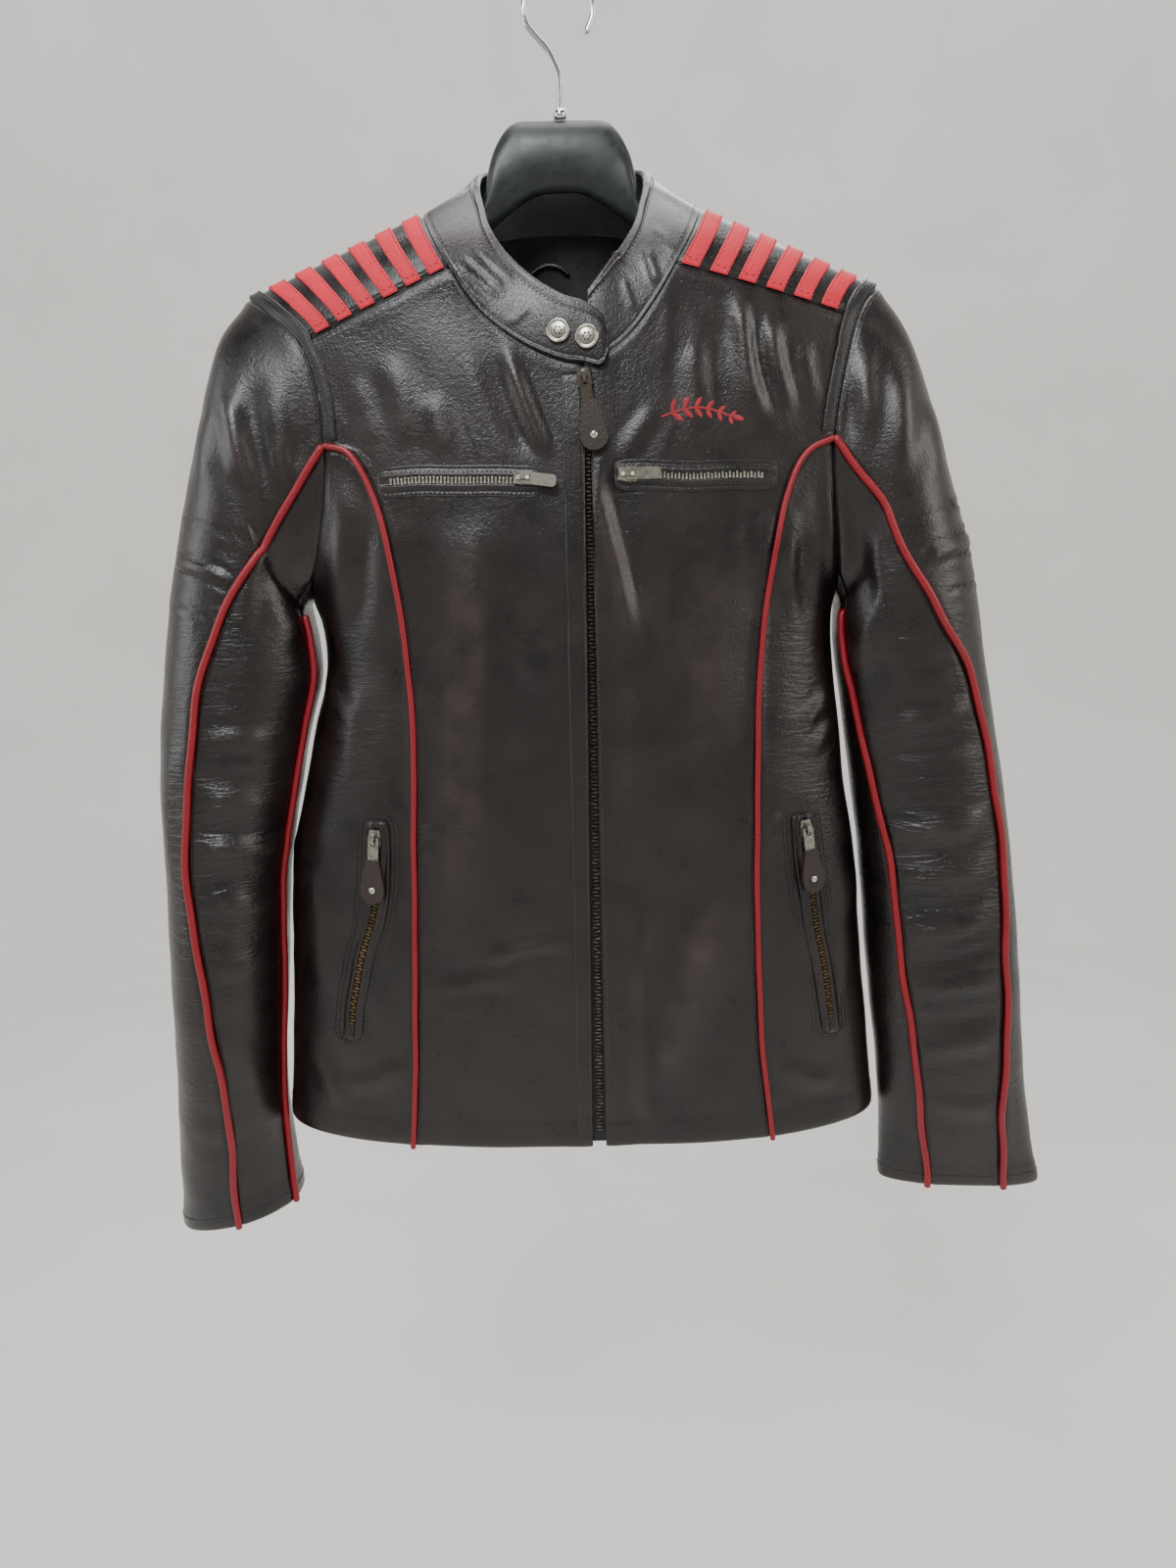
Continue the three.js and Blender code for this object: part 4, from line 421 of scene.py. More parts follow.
# The back is hidden: drag lines from the underarms, a soft waist and shallow long folds.
CREASES_BACK = [
    ([(-168, -330), (-150, -352), (-128, -366)], 8.0, 2.0),
    ([(-166, -362), (-146, -384), (-118, -400)], 9.0, 1.6),
    ([(-160, -262), (-150, -300), (-146, -338)], 9.0, 1.8),
    ([(-132, -240), (-128, -290), (-134, -340)], 12.0, 1.3),
    ([(-60, -200), (-66, -270), (-60, -360)], 16.0, 1.5),
    ([(-22, -176), (-18, -206), (-24, -246)], 8.0, 1.0),
    ([(-150, -430), (-120, -446), (-84, -450)], 8.0, 1.9),
    ([(-156, -462), (-128, -474), (-96, -480)], 7.0, 1.4),
    ([(-100, -500), (-92, -590), (-98, -690)], 18.0, 2.0),
    ([(-168, -560), (-172, -630), (-166, -710)], 12.0, 1.7),
    ([(-30, -470), (-36, -560), (-30, -680)], 17.0, 1.5),
    ([(-52, -722), (-20, -730), (16, -726)], 7.0, 0.9),
    ([(166, -326), (147, -348), (122, -360)], 8.0, 2.1),
    ([(164, -358), (140, -378), (112, -390)], 9.0, 1.5),
    ([(158, -258), (150, -296), (148, -334)], 9.0, 1.7),
    ([(128, -236), (124, -280), (132, -330)], 12.0, 1.2),
    ([(56, -204), (62, -276), (52, -350)], 16.0, 1.5),
    ([(26, -180), (20, -214), (26, -250)], 8.0, 1.0),
    ([(154, -434), (118, -452), (80, -454)], 8.0, 1.8),
    ([(160, -470), (130, -484), (102, -488)], 7.0, 1.3),
    ([(104, -506), (98, -600), (106, -700)], 18.0, 2.1),
    ([(176, -566), (170, -640), (176, -712)], 12.0, 1.6),
    ([(36, -480), (30, -570), (36, -676)], 17.0, 1.4),
    ([(-214, -256), (-210, -290), (-216, -330)], 8.0, 1.8),
    ([(-190, -300), (-194, -340), (-204, -384)], 7.0, 1.6),
    ([(-262, -470), (-230, -478), (-200, -476)], 7.0, 1.8),
    ([(-270, -512), (-236, -520), (-204, -514)], 7.0, 1.9),
    ([(-272, -556), (-240, -560), (-208, -558)], 7.0, 1.6),
    ([(-268, -604), (-240, -612), (-212, -604)], 8.0, 1.3),
    ([(-254, -660), (-242, -706), (-250, -760)], 12.0, 1.4),
    ([(216, -258), (212, -296), (218, -336)], 8.0, 1.8),
    ([(192, -306), (196, -346), (206, -390)], 7.0, 1.5),
    ([(272, -464), (240, -474), (206, -470)], 7.0, 1.8),
    ([(284, -512), (248, -520), (210, -510)], 7.0, 1.9),
    ([(292, -556), (256, -562), (216, -554)], 7.0, 1.7),
    ([(298, -606), (262, -612), (222, -602)], 8.0, 1.3),
    ([(292, -664), (272, -712), (280, -768)], 11.0, 1.3),
]
# The stitched ribs across the sleeves' outer panels, as pairs of ends, outer end first.
RIBS = {
    "right": [((-252, -329), (-199, -347)), ((-257, -351), (-213, -365)),
              ((-260, -362), (-218, -376)), ((-262, -383), (-235, -396))],
    "left": [((261, -327), (218, -342)), ((266, -346), (227, -358)),
             ((268, -358), (231, -371)), ((272, -378), (246, -386))],
}


def to_line(x, z, line, samples=28):
    """Distance and place (0 to 1) of each (x, z) along a smoothed line."""
    line = np.array(line, float)
    pts = through(np.c_[line, np.zeros(len(line))], np.linspace(0, len(line) - 1, samples))[:, :2]
    best = np.full(x.shape, 1e9)
    where = np.zeros(x.shape)
    for k in range(samples - 1):
        a, b = pts[k], pts[k + 1]
        d = b - a
        t = np.clip(((x - a[0]) * d[0] + (z - a[1]) * d[1]) / (d @ d), 0, 1)
        dist = np.hypot(x - a[0] - t * d[0], z - a[1] - t * d[1])
        closer = dist < best
        best = np.where(closer, dist, best)
        where = np.where(closer, (k + t) / (samples - 1), where)
    return best, where


def crease_height(p, normal):
    """Height of the creases at points with their outward normals, in millimetres."""
    x, z = p[..., 0], p[..., 2]
    total = np.zeros(x.shape)
    for creases, sign in ((CREASES_FRONT, -1), (CREASES_BACK, 1)):
        facing = smooth((sign * normal[..., 1] + 0.05) / 0.45)
        for line, width, height in creases:
            xs, zs = [q[0] for q in line], [q[1] for q in line]
            reach = width * 3
            near = ((x > min(xs) - reach) & (x < max(xs) + reach)
                    & (z > min(zs) - reach) & (z < max(zs) + reach) & (facing > 0))
            if not near.any():
                continue
            dist, along = to_line(x[near], z[near], line)
            q = dist / width
            profile = np.exp(-q * q) - 0.3 * np.exp(-(q - 1.95) ** 2 * 1.6)
            taper = smooth(np.minimum(along, 1 - along) * 3.2 + 0.06)
            total[near] += height * profile * taper * facing[near]
    return total


def unevenness(p):
    """A slow, even wander of the leather's surface, so that no panel is a perfect form."""
    x, y, z = p[..., 0], p[..., 1], p[..., 2]
    return (0.55 * np.sin(x / 23 + 1.3 * np.sin(z / 61)) * np.sin(z / 37 + 0.8 * np.sin(x / 41))
            + 0.3 * np.sin(x / 11.3 + z / 17.7) * np.sin(z / 13.1 - y / 19))


# ---------------------------------------------------------------- meshes


def normals_of(p, toward):
    """Outward normals of a grid of points; toward points outward at its middle."""
    du, dv = np.gradient(p, axis=0), np.gradient(p, axis=1)
    n = unit(np.cross(du, dv))
    middle = n[len(n) // 2, n.shape[1] // 2]
    return n if middle @ np.asarray(toward, float) > 0 else -n


def make(name, verts, faces, mats=(), face_mats=None, attributes=None, flat=False):
    mesh = bpy.data.meshes.new(name)
    mesh.from_pydata((np.asarray(verts) * MM).tolist(), [], faces)
    for mat in mats:
        mesh.materials.append(mat)
    if face_mats is not None:
        mesh.polygons.foreach_set("material_index", np.asarray(face_mats, np.int32))
    if not flat:
        mesh.polygons.foreach_set("use_smooth", np.ones(len(faces), bool))
    for key, values in (attributes or {}).items():
        mesh.attributes.new(key, "FLOAT", "POINT").data.foreach_set(
            "value", np.asarray(values, np.float32).ravel())
    mesh.validate()
    mesh.update()
    obj = bpy.data.objects.new(name, mesh)
    bpy.context.scene.collection.objects.link(obj)
    return obj


def grid_faces(rows, cols, start=0, flip=False):
    i, j = np.meshgrid(np.arange(rows - 1), np.arange(cols - 1), indexing="ij")
    a = (start + i * cols + j).ravel()
    quads = np.stack([a, a + 1, a + cols + 1, a + cols], -1)
    return quads[:, ::-1] if flip else quads


def edge_loop(rows, cols):
    top = np.arange(cols)
    right = np.arange(1, rows) * cols + cols - 1
    bottom = (rows - 1) * cols + np.arange(cols - 2, -1, -1)
    left = np.arange(rows - 2, 0, -1) * cols
    return np.concatenate([top, right, bottom, left])


def edge_distances(p):
    """Distance of each grid point from its four edges: row 0, last row, column 0, last."""
    dv = np.zeros(p.shape[:2])
    dv[1:] = np.cumsum(np.linalg.norm(np.diff(p, axis=0), axis=-1), axis=0)
    du = np.zeros(p.shape[:2])
    du[:, 1:] = np.cumsum(np.linalg.norm(np.diff(p, axis=1), axis=-1), axis=1)
    return [dv, dv[-1:] - dv, du, du[:, -1:] - du]


def shell(name, p, inward, mats, attributes=None):
    """A closed thin wall: p is its outside, inward the step to its inside."""
    rows, cols = p.shape[:2]
    count = rows * cols
    outside = p.reshape(-1, 3)
    inside = (p + inward).reshape(-1, 3)
    around = edge_loop(rows, cols)
    following = np.roll(around, -1)
    rim = np.stack([around, around + count, following + count, following], -1)
    n = np.cross(p[rows // 2 + 1, cols // 2] - p[rows // 2, cols // 2],
                 p[rows // 2, cols // 2 + 1] - p[rows // 2, cols // 2])
    flip = n @ inward[rows // 2, cols // 2] < 0
    quads = np.concatenate([grid_faces(rows, cols, 0, flip),
                            grid_faces(rows, cols, count, not flip),
                            rim if flip else rim[:, ::-1]])
    inner = grid_faces(rows, cols).shape[0]
    index = np.zeros(len(quads), int)
    index[inner:2 * inner] = 1 if len(mats) > 1 else 0
    both = {k: np.concatenate([np.ravel(v), np.ravel(v)]) for k, v in (attributes or {}).items()}
    return make(name, np.concatenate([outside, inside]), quads.tolist(), mats, index, both)


def elbow_flex(p):
    """Where a sleeve creases finely across: strongest at the elbow, some above the cuff."""
    z = p[..., 2]
    return (np.exp(-(((z + 560) / 85) ** 2)) + 0.4 * np.exp(-(((z + 400) / 60) ** 2))
            + 0.35 * np.exp(-(((z + 720) / 60) ** 2)))


def waist_flex(p, n):
    """Fine cross creases at the waist's sides and beside the front zip."""
    x, z = p[..., 0], p[..., 2]
    waist = np.exp(-(((z + 455) / 70) ** 2)) * smooth((np.abs(x) - 90) / 70)
    beside_zip = 0.18 * np.exp(-(((x - 30) / 16) ** 2)) * smooth((-z - 260) / 60) * smooth((z + 560) / 80)
    return waist * 0.7 + beside_zip + 0.05


SEAM, TURNED = "seam", "turned"
TURNED_DEEP = 19.0


def leather_panel(name, p, toward, edges, thick=LEATHER, extra=None, mats=None, quiet=0.0):
    """A leather panel on the form p, with its creases, seam dips and edge gaps.

    edges name what each side is: row 0, last row, column 0, last column.
    """
    n = normals_of(p, toward)
    away = edge_distances(p)
    height = (crease_height(p, n) + unevenness(p)) * (1 - quiet)
    if extra is not None:
        height = height + extra(p, n, away)
    seam = np.full(p.shape[:2], 99.0)
    for kind, d in zip(edges, away):
        if kind == SEAM:
            height = height * smooth(d / 9)
            seam = np.minimum(seam, d)
    # lift, the crease height, makes the ridges paler in the leather: wear and a painted highlight.
    lift = height.copy()
    for kind, d in zip(edges, away):
        if kind == SEAM:
            height = height - 0.75 * np.exp(-((d / 1.5) ** 2)) + 0.45 * np.exp(-(((d - 5) / 3.2) ** 2))
        if kind == TURNED:
            height = height + 0.45 * smooth((TURNED_DEEP - d) / 2.5)
            height = height - 0.9 * np.exp(-((d / 1.1) ** 2)) + 0.35 * np.exp(-(((d - 6) / 5) ** 2))
    moved = p + n * height[..., None]
    moved = pull_in(moved, 0.15)
    flex = elbow_flex(p) if "sleeve" in name else waist_flex(p, n)
    attributes = {"lift": lift, "seam": seam, "flex": flex}
    obj = shell(name, moved, -n * thick, mats or [LEATHER_MAT, LINING_MAT], attributes)
    return obj, moved, normals_of(moved, toward)


def pull_in(p, gap):
    """Draws the four edges in a little, so that panels meet with a fine seam gap."""
    q = p.copy()
    q[0] += unit(p[1] - p[0]) * gap
    q[-1] += unit(p[-2] - p[-1]) * gap
    q[:, 0] += unit(p[:, 1] - p[:, 0]) * gap
    q[:, -1] += unit(p[:, -2] - p[:, -1]) * gap
    return q


def tube_faces(rows, sides):
    """Faces of a closed tube whose rings follow each other."""
    faces = [[i * sides + k, i * sides + (k + 1) % sides, (i + 1) * sides + (k + 1) % sides,
              (i + 1) * sides + k] for i in range(rows - 1) for k in range(sides)]
    faces.append(list(range(sides))[::-1])
    faces.append([(rows - 1) * sides + k for k in range(sides)])
    return faces


def joined(parts):
    """Stacks (vertices, faces) pairs into one."""
    verts, faces, base = [], [], 0
    for v, f in parts:
        verts.append(v)
        faces += [[i + base for i in face] for face in f]
        base += len(v)
    return np.concatenate(verts), faces


def frames_along(line, normals):
    along = unit(np.gradient(line, axis=0))
    across = unit(np.cross(along, normals))
    return along, across, unit(np.cross(across, along))


def cord(name, line, normals, radius, mats, sides=10, round_ends=True):
    """A round cord along a line; radius may vary along it."""
    along, across, up = frames_along(line, normals)
    radius = np.broadcast_to(np.asarray(radius, float), (len(line),)).copy()
    if round_ends:
        line = np.concatenate([line[:1] - along[:1] * radius[0] * 0.5, line,
                               line[-1:] + along[-1:] * radius[-1] * 0.5])
        across = np.concatenate([across[:1], across, across[-1:]])
        up = np.concatenate([up[:1], up, up[-1:]])
        radius = np.concatenate([[radius[0] * 0.55], radius, [radius[-1] * 0.55]])
    angle = np.arange(sides) * 2 * np.pi / sides
    ring = (across[:, None] * np.cos(angle)[None, :, None] + up[:, None] * np.sin(angle)[None, :, None])
    v = (line[:, None] + ring * radius[:, None, None]).reshape(-1, 3)
    faces = []
    for i in range(len(line) - 1):
        for k in range(sides):
            a, b = i * sides + k, i * sides + (k + 1) % sides
            faces.append([a, b, b + sides, a + sides])
    faces.append(list(range(sides))[::-1])
    faces.append([(len(line) - 1) * sides + k for k in range(sides)])
    return make(name, v, faces, mats)


THREAD = 0.36
STITCH_PITCH, STITCH_LONG = 3.4, 2.5


def run_of(line):
    return np.r_[0, np.cumsum(np.linalg.norm(np.diff(line, axis=0), axis=1))]


def along_run(line, s):
    run = run_of(line)
    return np.stack([np.interp(s, run, line[:, k]) for k in range(3)], -1)


def stitches(name, lines, mat, pitch=STITCH_PITCH, long=STITCH_LONG, radius=THREAD):
    """Rows of separate stitches along lines of (points, normals), as one joined mesh."""
    verts, faces, base = [], [], 0
    sides = 5
    angle = np.arange(sides) * 2 * np.pi / sides
    for line, normals in lines:
        total = run_of(line)[-1]
        count = max(1, int(total // pitch))
        for k in range(count):
            middle = (k + 0.5) * total / count
            stops = middle + np.array([-0.5, -0.28, 0.28, 0.5]) * long
            stops = np.clip(stops, 0, total)
            pts, nor = along_run(line, stops), unit(along_run_values(line, normals, stops))
            pts = pts + nor * (np.array([-0.12, 0.24, 0.24, -0.12]) * 1.0)[:, None]
            direction = unit(pts[-1] - pts[0])
            across = unit(np.cross(direction, nor[1]))
            for q, r in zip(pts, (0.45, 1.0, 1.0, 0.45)):
                ring = (across[None] * np.cos(angle)[:, None] + nor[1][None] * np.sin(angle)[:, None])
                verts.append(q + ring * radius * r)
            for i in range(3):
                for j in range(sides):
                    a, b = base + i * sides + j, base + i * sides + (j + 1) % sides
                    faces.append([a, b, b + sides, a + sides])
            faces.append([base + j for j in range(sides)][::-1])
            faces.append([base + 3 * sides + j for j in range(sides)])
            base += 4 * sides
    return make(name, np.concatenate(verts), faces, [mat])


def along_run_values(line, values, s):
    run = run_of(line)
    return np.stack([np.interp(s, run, values[:, k]) for k in range(3)], -1)


def offset_line(moved, normals, edge, distance, trim=(0, 0)):
    """The line on a panel at a distance inside one edge: 0 row 0, 1 last row, 2 and 3 columns."""
    p, n = (moved, normals) if edge < 2 else (moved.swapaxes(0, 1), normals.swapaxes(0, 1))
    if edge % 2:
        p, n = p[::-1], n[::-1]
    reach = np.zeros(p.shape[:2])
    reach[1:] = np.cumsum(np.linalg.norm(np.diff(p, axis=0), axis=-1), axis=0)
    line, out = [], []
    for j in range(trim[0], p.shape[1] - trim[1]):
        if reach[-1, j] < distance * 1.5:
            continue
        i = np.interp(distance, reach[:, j], np.arange(len(p)))
        k = min(int(i), len(p) - 2)
        t = i - k
        line.append(p[k, j] * (1 - t) + p[k + 1, j] * t)
        out.append(unit(n[k, j] * (1 - t) + n[k + 1, j] * t))
    return np.array(line), np.array(out)


# ---------------------------------------------------------------- materials


def linear(rgb):
    return [(c / 255 / 12.92) if c / 255 <= 0.04045 else ((c / 255 + 0.055) / 1.055) ** 2.4 for c in rgb]


class Nodes:
    """A material's node tree, built step by step; scales are in repeats per metre."""

    def __init__(self, name):
        self.mat = bpy.data.materials.new(name)
        self.mat.use_nodes = True
        self.tree = self.mat.node_tree
        self.shader = self.tree.nodes["Principled BSDF"]
        self.coords = self.tree.nodes.new("ShaderNodeTexCoord").outputs["Object"]

    def new(self, kind, inputs=(), **settings):
        node = self.tree.nodes.new("ShaderNode" + kind)
        for key, value in settings.items():
            setattr(node, key, value)
        for key, value in dict(inputs).items():
            self.put(node.inputs[key], value)
        return node

    def put(self, socket, value):
        if isinstance(value, bpy.types.NodeSocket):
            self.tree.links.new(value, socket)
        else:
            socket.default_value = value

    def noise(self, scale, detail=3, rough=0.55, warp=0.0):
        inputs = {"Vector": self.coords, "Scale": scale, "Detail": detail, "Roughness": rough,
                  "Distortion": warp}
        return self.new("TexNoise", inputs).outputs["Fac"]

    def cells(self, scale, feature="F1", randomness=1.0):
        vector = self.coords
        inputs = {"Vector": vector, "Scale": scale, "Randomness": randomness}
        return self.new("TexVoronoi", inputs, feature=feature).outputs["Distance"]

    def attribute(self, name):
        return self.new("Attribute", attribute_name=name).outputs["Fac"]

    def math(self, operation, a, b=0.0, clamp=False):
        node = self.new("Math", {0: a, 1: b}, operation=operation, use_clamp=clamp)
        return node.outputs[0]

    def remap(self, value, low, high, to_low=0.0, to_high=1.0):
        inputs = {"Value": value, "From Min": low, "From Max": high, "To Min": to_low,
                  "To Max": to_high}
        return self.new("MapRange", inputs).outputs["Result"]

    def mix(self, factor, a, b):
        node = self.new("Mix", data_type="RGBA")
        self.put(node.inputs["Factor"], factor)
        for key, value in ((6, a), (7, b)):
            value = value if isinstance(value, bpy.types.NodeSocket) else [*value, 1]
            self.put(node.inputs[key], value)
        return node.outputs[2]

    def bump(self, height, distance, strength=1.0, after=None):
        inputs = {"Height": height, "Distance": distance, "Strength": strength}
        node = self.new("Bump", inputs)
        if after is not None:
            self.put(node.inputs["Normal"], after)
        return node.outputs["Normal"]

    def finish(self, **inputs):
        for key, value in inputs.items():
            name = key.replace("_", " ").title().replace("Ior", "IOR")
            if name == "Base Color" and not isinstance(value, bpy.types.NodeSocket):
                value = [*value, 1]
            self.put(self.shader.inputs[name], value)
        return self.mat


def leather_material(name, dark, mid, wear_and_highlight_color, rough=(0.34, 0.52), coat=0.12, grain=1.0):
    """Grained leather: pebbles about 1.1 mm across, mottled, and paler where it stands up, from wear and a painted
    highlight.
    """
    n = Nodes(name)
    mottle = n.remap(n.noise(38, 4, 0.6, 0.6), 0.36, 0.66)
    patchy = n.remap(n.noise(11, 3, 0.5), 0.38, 0.64)
    base = n.mix(n.math("MULTIPLY", mottle, 0.75), linear(dark), linear(mid))
    # Ridges are painted paler by the crease height: partly wear, partly a painted highlight.
    lift = n.remap(n.attribute("lift"), 0.9, 3.4, 0.0, 0.55)
    wear_and_highlight = n.math("MULTIPLY", lift, n.remap(n.noise(60, 3, 0.5), 0.3, 0.75))
    wear_and_highlight = n.math("ADD", wear_and_highlight, n.math("MULTIPLY", patchy, 0.10), clamp=True)
    base = n.mix(wear_and_highlight, base, linear(wear_and_highlight_color))
    near_seam = n.remap(n.attribute("seam"), 0.0, 1.6, 0.72, 0.0)
    base = n.mix(near_seam, base, [c * 0.25 for c in linear(dark)])
    pebbles = n.cells(860)
    fine = n.noise(1900, 2, 0.6)
    crumple = n.noise(330, 3, 0.55, 0.3)
    veins = n.cells(120, "DISTANCE_TO_EDGE")
    veins = n.remap(veins, 0.0, 0.12, 1.0, 0.0)
    height = n.math("ADD", n.math("MULTIPLY", pebbles, -0.5), n.math("MULTIPLY", fine, 0.2))
    height = n.math("ADD", height, n.math("MULTIPLY", veins, -0.12))
    small = n.bump(height, 0.00026 * grain, 0.9)
    stitch_row = n.math("ABSOLUTE", n.math("SUBTRACT", n.attribute("seam"), STITCH_IN))
    groove = n.remap(stitch_row, 0.0, 1.1, -1.0, 0.0)
    large = n.math("ADD", crumple, n.math("MULTIPLY", groove, 0.55))
    normal = n.bump(large, 0.00055, 0.55, small)
    stretched = n.new("Mapping", {"Vector": n.coords, "Scale": (26, 26, 150)}).outputs["Vector"]
    wrinkles = n.new("TexNoise", {"Vector": stretched, "Scale": 1.0, "Detail": 3.0, "Roughness": 0.55,
                                  "Distortion": 0.5}).outputs["Fac"]
    wrinkles = n.math("ABSOLUTE", n.math("SUBTRACT", wrinkles, 0.5))
    wrinkles = n.math("MULTIPLY", n.remap(wrinkles, 0.0, 0.12, -1.0, 0.0), n.attribute("flex"))
    normal = n.bump(wrinkles, 0.0007, 0.55, normal)
    roughness = n.remap(n.math("ADD", mottle, n.math("MULTIPLY", pebbles, 0.6)), 0.0, 1.3, *rough)
    return n.finish(base_color=base, roughness=roughness, normal=normal, coat_weight=coat,
                    coat_roughness=0.3, specular_ior_level=0.5)


def cloth_material(name, color, other, scale=1500, depth=0.00025, rough=0.85):
    """A plain woven cloth, its threads crossing at that many to the metre."""
    n = Nodes(name)
    split = n.new("SeparateXYZ", {0: n.coords})
    warp = n.math("SINE", n.math("MULTIPLY", split.outputs[0], scale * math.pi))
    weft = n.math("SINE", n.math("MULTIPLY", split.outputs[2], scale * math.pi))
    weave = n.math("MULTIPLY", warp, weft)
    wear = n.remap(n.noise(60, 4, 0.6), 0.35, 0.7)
    base = n.mix(wear, linear(color), linear(other))
    return n.finish(base_color=base, roughness=rough, normal=n.bump(weave, depth, 0.7),
                    sheen_weight=0.2)


def metal_material(name, bright, dull, rough=(0.22, 0.5), scale=700, tarnish=0.5):
    """Plated metal with patches of wear from rubbing and fine pits."""
    n = Nodes(name)
    patches = n.remap(n.noise(scale * 0.4, 3, 0.5), 0.5 - 0.2 * tarnish, 0.78)
    base = n.mix(patches, linear(bright), linear(dull))
    scratch = n.noise(scale * 3, 3, 0.7, 1.5)
    normal = n.bump(scratch, 0.00004, 0.4)
    return n.finish(base_color=base, metallic=1.0, roughness=n.remap(patches, 0, 1, *rough),
                    normal=normal)


def plain_material(name, color, other, rough, scale, depth, coat=0.0):
    n = Nodes(name)
    tone = n.remap(n.noise(scale * 0.2, 3, 0.5), 0.35, 0.65)
    base = n.mix(tone, linear(color), linear(other))
    normal = n.bump(n.noise(scale, 3, 0.6), depth, 0.5)
    return n.finish(base_color=base, roughness=n.remap(tone, 0, 1, rough - 0.05, rough + 0.06),
                    normal=normal, coat_weight=coat, coat_roughness=0.25)


STITCH_IN = 3.4
LEATHER_MAT = leather_material("black_leather", (9, 6, 7), (28, 17, 17), (70, 56, 52), (0.25, 0.4), 0.18)
BAND_MAT = leather_material("band_leather", (9, 7, 8), (22, 16, 17), (50, 40, 38), coat=0.1)
TAB_MAT = leather_material("tab_leather", (56, 42, 36), (80, 62, 52), (112, 90, 76))
RED_MAT = leather_material("red_leather", (200, 10, 40), (218, 18, 54), (226, 44, 72), (0.55, 0.7), 0.0)
PIPING_MAT = leather_material("red_piping", (184, 8, 34), (208, 16, 48), (226, 48, 76), (0.36, 0.5), 0.1,
                              0.7)
LINING_MAT = cloth_material("black_lining", (24, 22, 24), (38, 34, 36), 1700, 0.0002, 0.6)
FACING_MAT = cloth_material("neck_facing_cloth", (34, 30, 32), (50, 44, 45), 1300, 0.0003)
TAPE_MAT = cloth_material("zip_tape", (22, 21, 22), (34, 32, 33), 1100, 0.0004)
THREAD_MAT = cloth_material("black_thread", (20, 18, 19), (44, 38, 38), 3200, 0.0003, 0.55)
RED_THREAD_MAT = cloth_material("red_thread", (176, 20, 40), (214, 40, 62), 3200, 0.0003, 0.6)
NICKEL_MAT = metal_material("antique_nickel", (178, 174, 164), (98, 93, 84), (0.24, 0.4), tarnish=0.3)
BRASS_MAT = metal_material("antique_brass", (118, 100, 72), (58, 49, 36), (0.3, 0.5), tarnish=0.5)
TEETH_MAT = metal_material("nickel_teeth", (206, 202, 192), (132, 126, 114), (0.2, 0.34), tarnish=0.3)
DARK_METAL_MAT = metal_material("dark_metal", (92, 86, 78), (40, 36, 32), (0.3, 0.5), tarnish=0.5)
CHROME_MAT = metal_material("chrome", (214, 216, 220), (176, 178, 182), (0.08, 0.2), 300, 0.2)
HANGER_MAT = plain_material("hanger_plastic", (26, 31, 32), (34, 40, 41), 0.4, 900, 0.00008, 0.1)

made = []


def add(obj, replaced=(), body=BODY):
    """Registers a piece: its body and the CAD nodes it stands for."""
    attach(obj, body)
    if replaced:
        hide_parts(*replaced)
    made.append(obj)
    return obj


# ---------------------------------------------------------------- body panels

PANELS = {}
PANEL_STEP = 3.1


def princess(side, s):
    """The princess seam from the hem (0) up to the armhole's peak (9)."""
    rows = PRINCESS[side]
    x, z = SIDES[side] * rows["x"][::-1], rows["z"][::-1].copy()
    z[0] = hem_z(x[0], -1)
    line = through(np.stack([x, z, z * 0], -1), s)
    p = front(line[..., 0], line[..., 1])
    gap = armhole(side, 90.0) - front(x[-1], z[-1])
    return p + gap * smooth(np.asarray(s) - 8)[..., None]


def outer_edge(side, s):
    s = np.asarray(s, float)
    upper = armhole(side, 90 + (SHOULDER_FRONT[side] - 90) * (s - 9) / 2)
    return np.where((s > 9)[..., None], upper, princess(side, np.minimum(s, 9)))


def zip_edge(side, s):
    z = HEM_FRONT + (NECKS[side][0][2] - HEM_FRONT) * np.asarray(s, float) / 11
    return front(column(ZIP_EDGE, "z", z, side), z)


def front_center(side):
    def top(c):
        on_neck = through(NECKS[side], np.clip(8 - c, 0, 13))
        on_neck = on_neck + (zip_edge(side, 11) - NECKS[side][0]) * smooth(c - 7)[..., None]
        return np.where((c < 4)[..., None], shoulder(side, 0, np.clip(1 - c / 4, 0, 1)), on_neck)
    ends = shell_ends(PANEL_STEP)
    s = arc_places(lambda t: outer_edge(side, t), 0, 11, PANEL_STEP, ends, ends)
    c = arc_places(top, 0, 8, PANEL_STEP * 1.15, ends, ends)
    from_x = outer_edge(side, 0.0)[0]
    x = from_x + (column(ZIP_EDGE, "z", HEM_FRONT, side) - from_x) * c / 8
    bottom = front(x, hem_z(x, -1))
    p = patch(-1, (bottom, c / 8), (top(c), 0), (outer_edge(side, s), s / 11), (zip_edge(side, s), 0))
    edges = [TURNED, SEAM, SEAM, TURNED]
    obj, moved, normals = leather_panel(f"front_center_{side}_shell", p, (0, -1, 0), edges)
    PANELS[f"front_center_{side}"] = (moved, normals)
    return add(obj, [f"front_center_{side}"])


def side_seam(side, s):
    z = HEM_SIDE + (ARM_LOW - HEM_SIDE) * np.asarray(s, float) / 9
    x = SIDES[side] * half_width(np.full(z.shape, SIDES[side]), z)
    return np.stack([x, z * 0, z], -1)


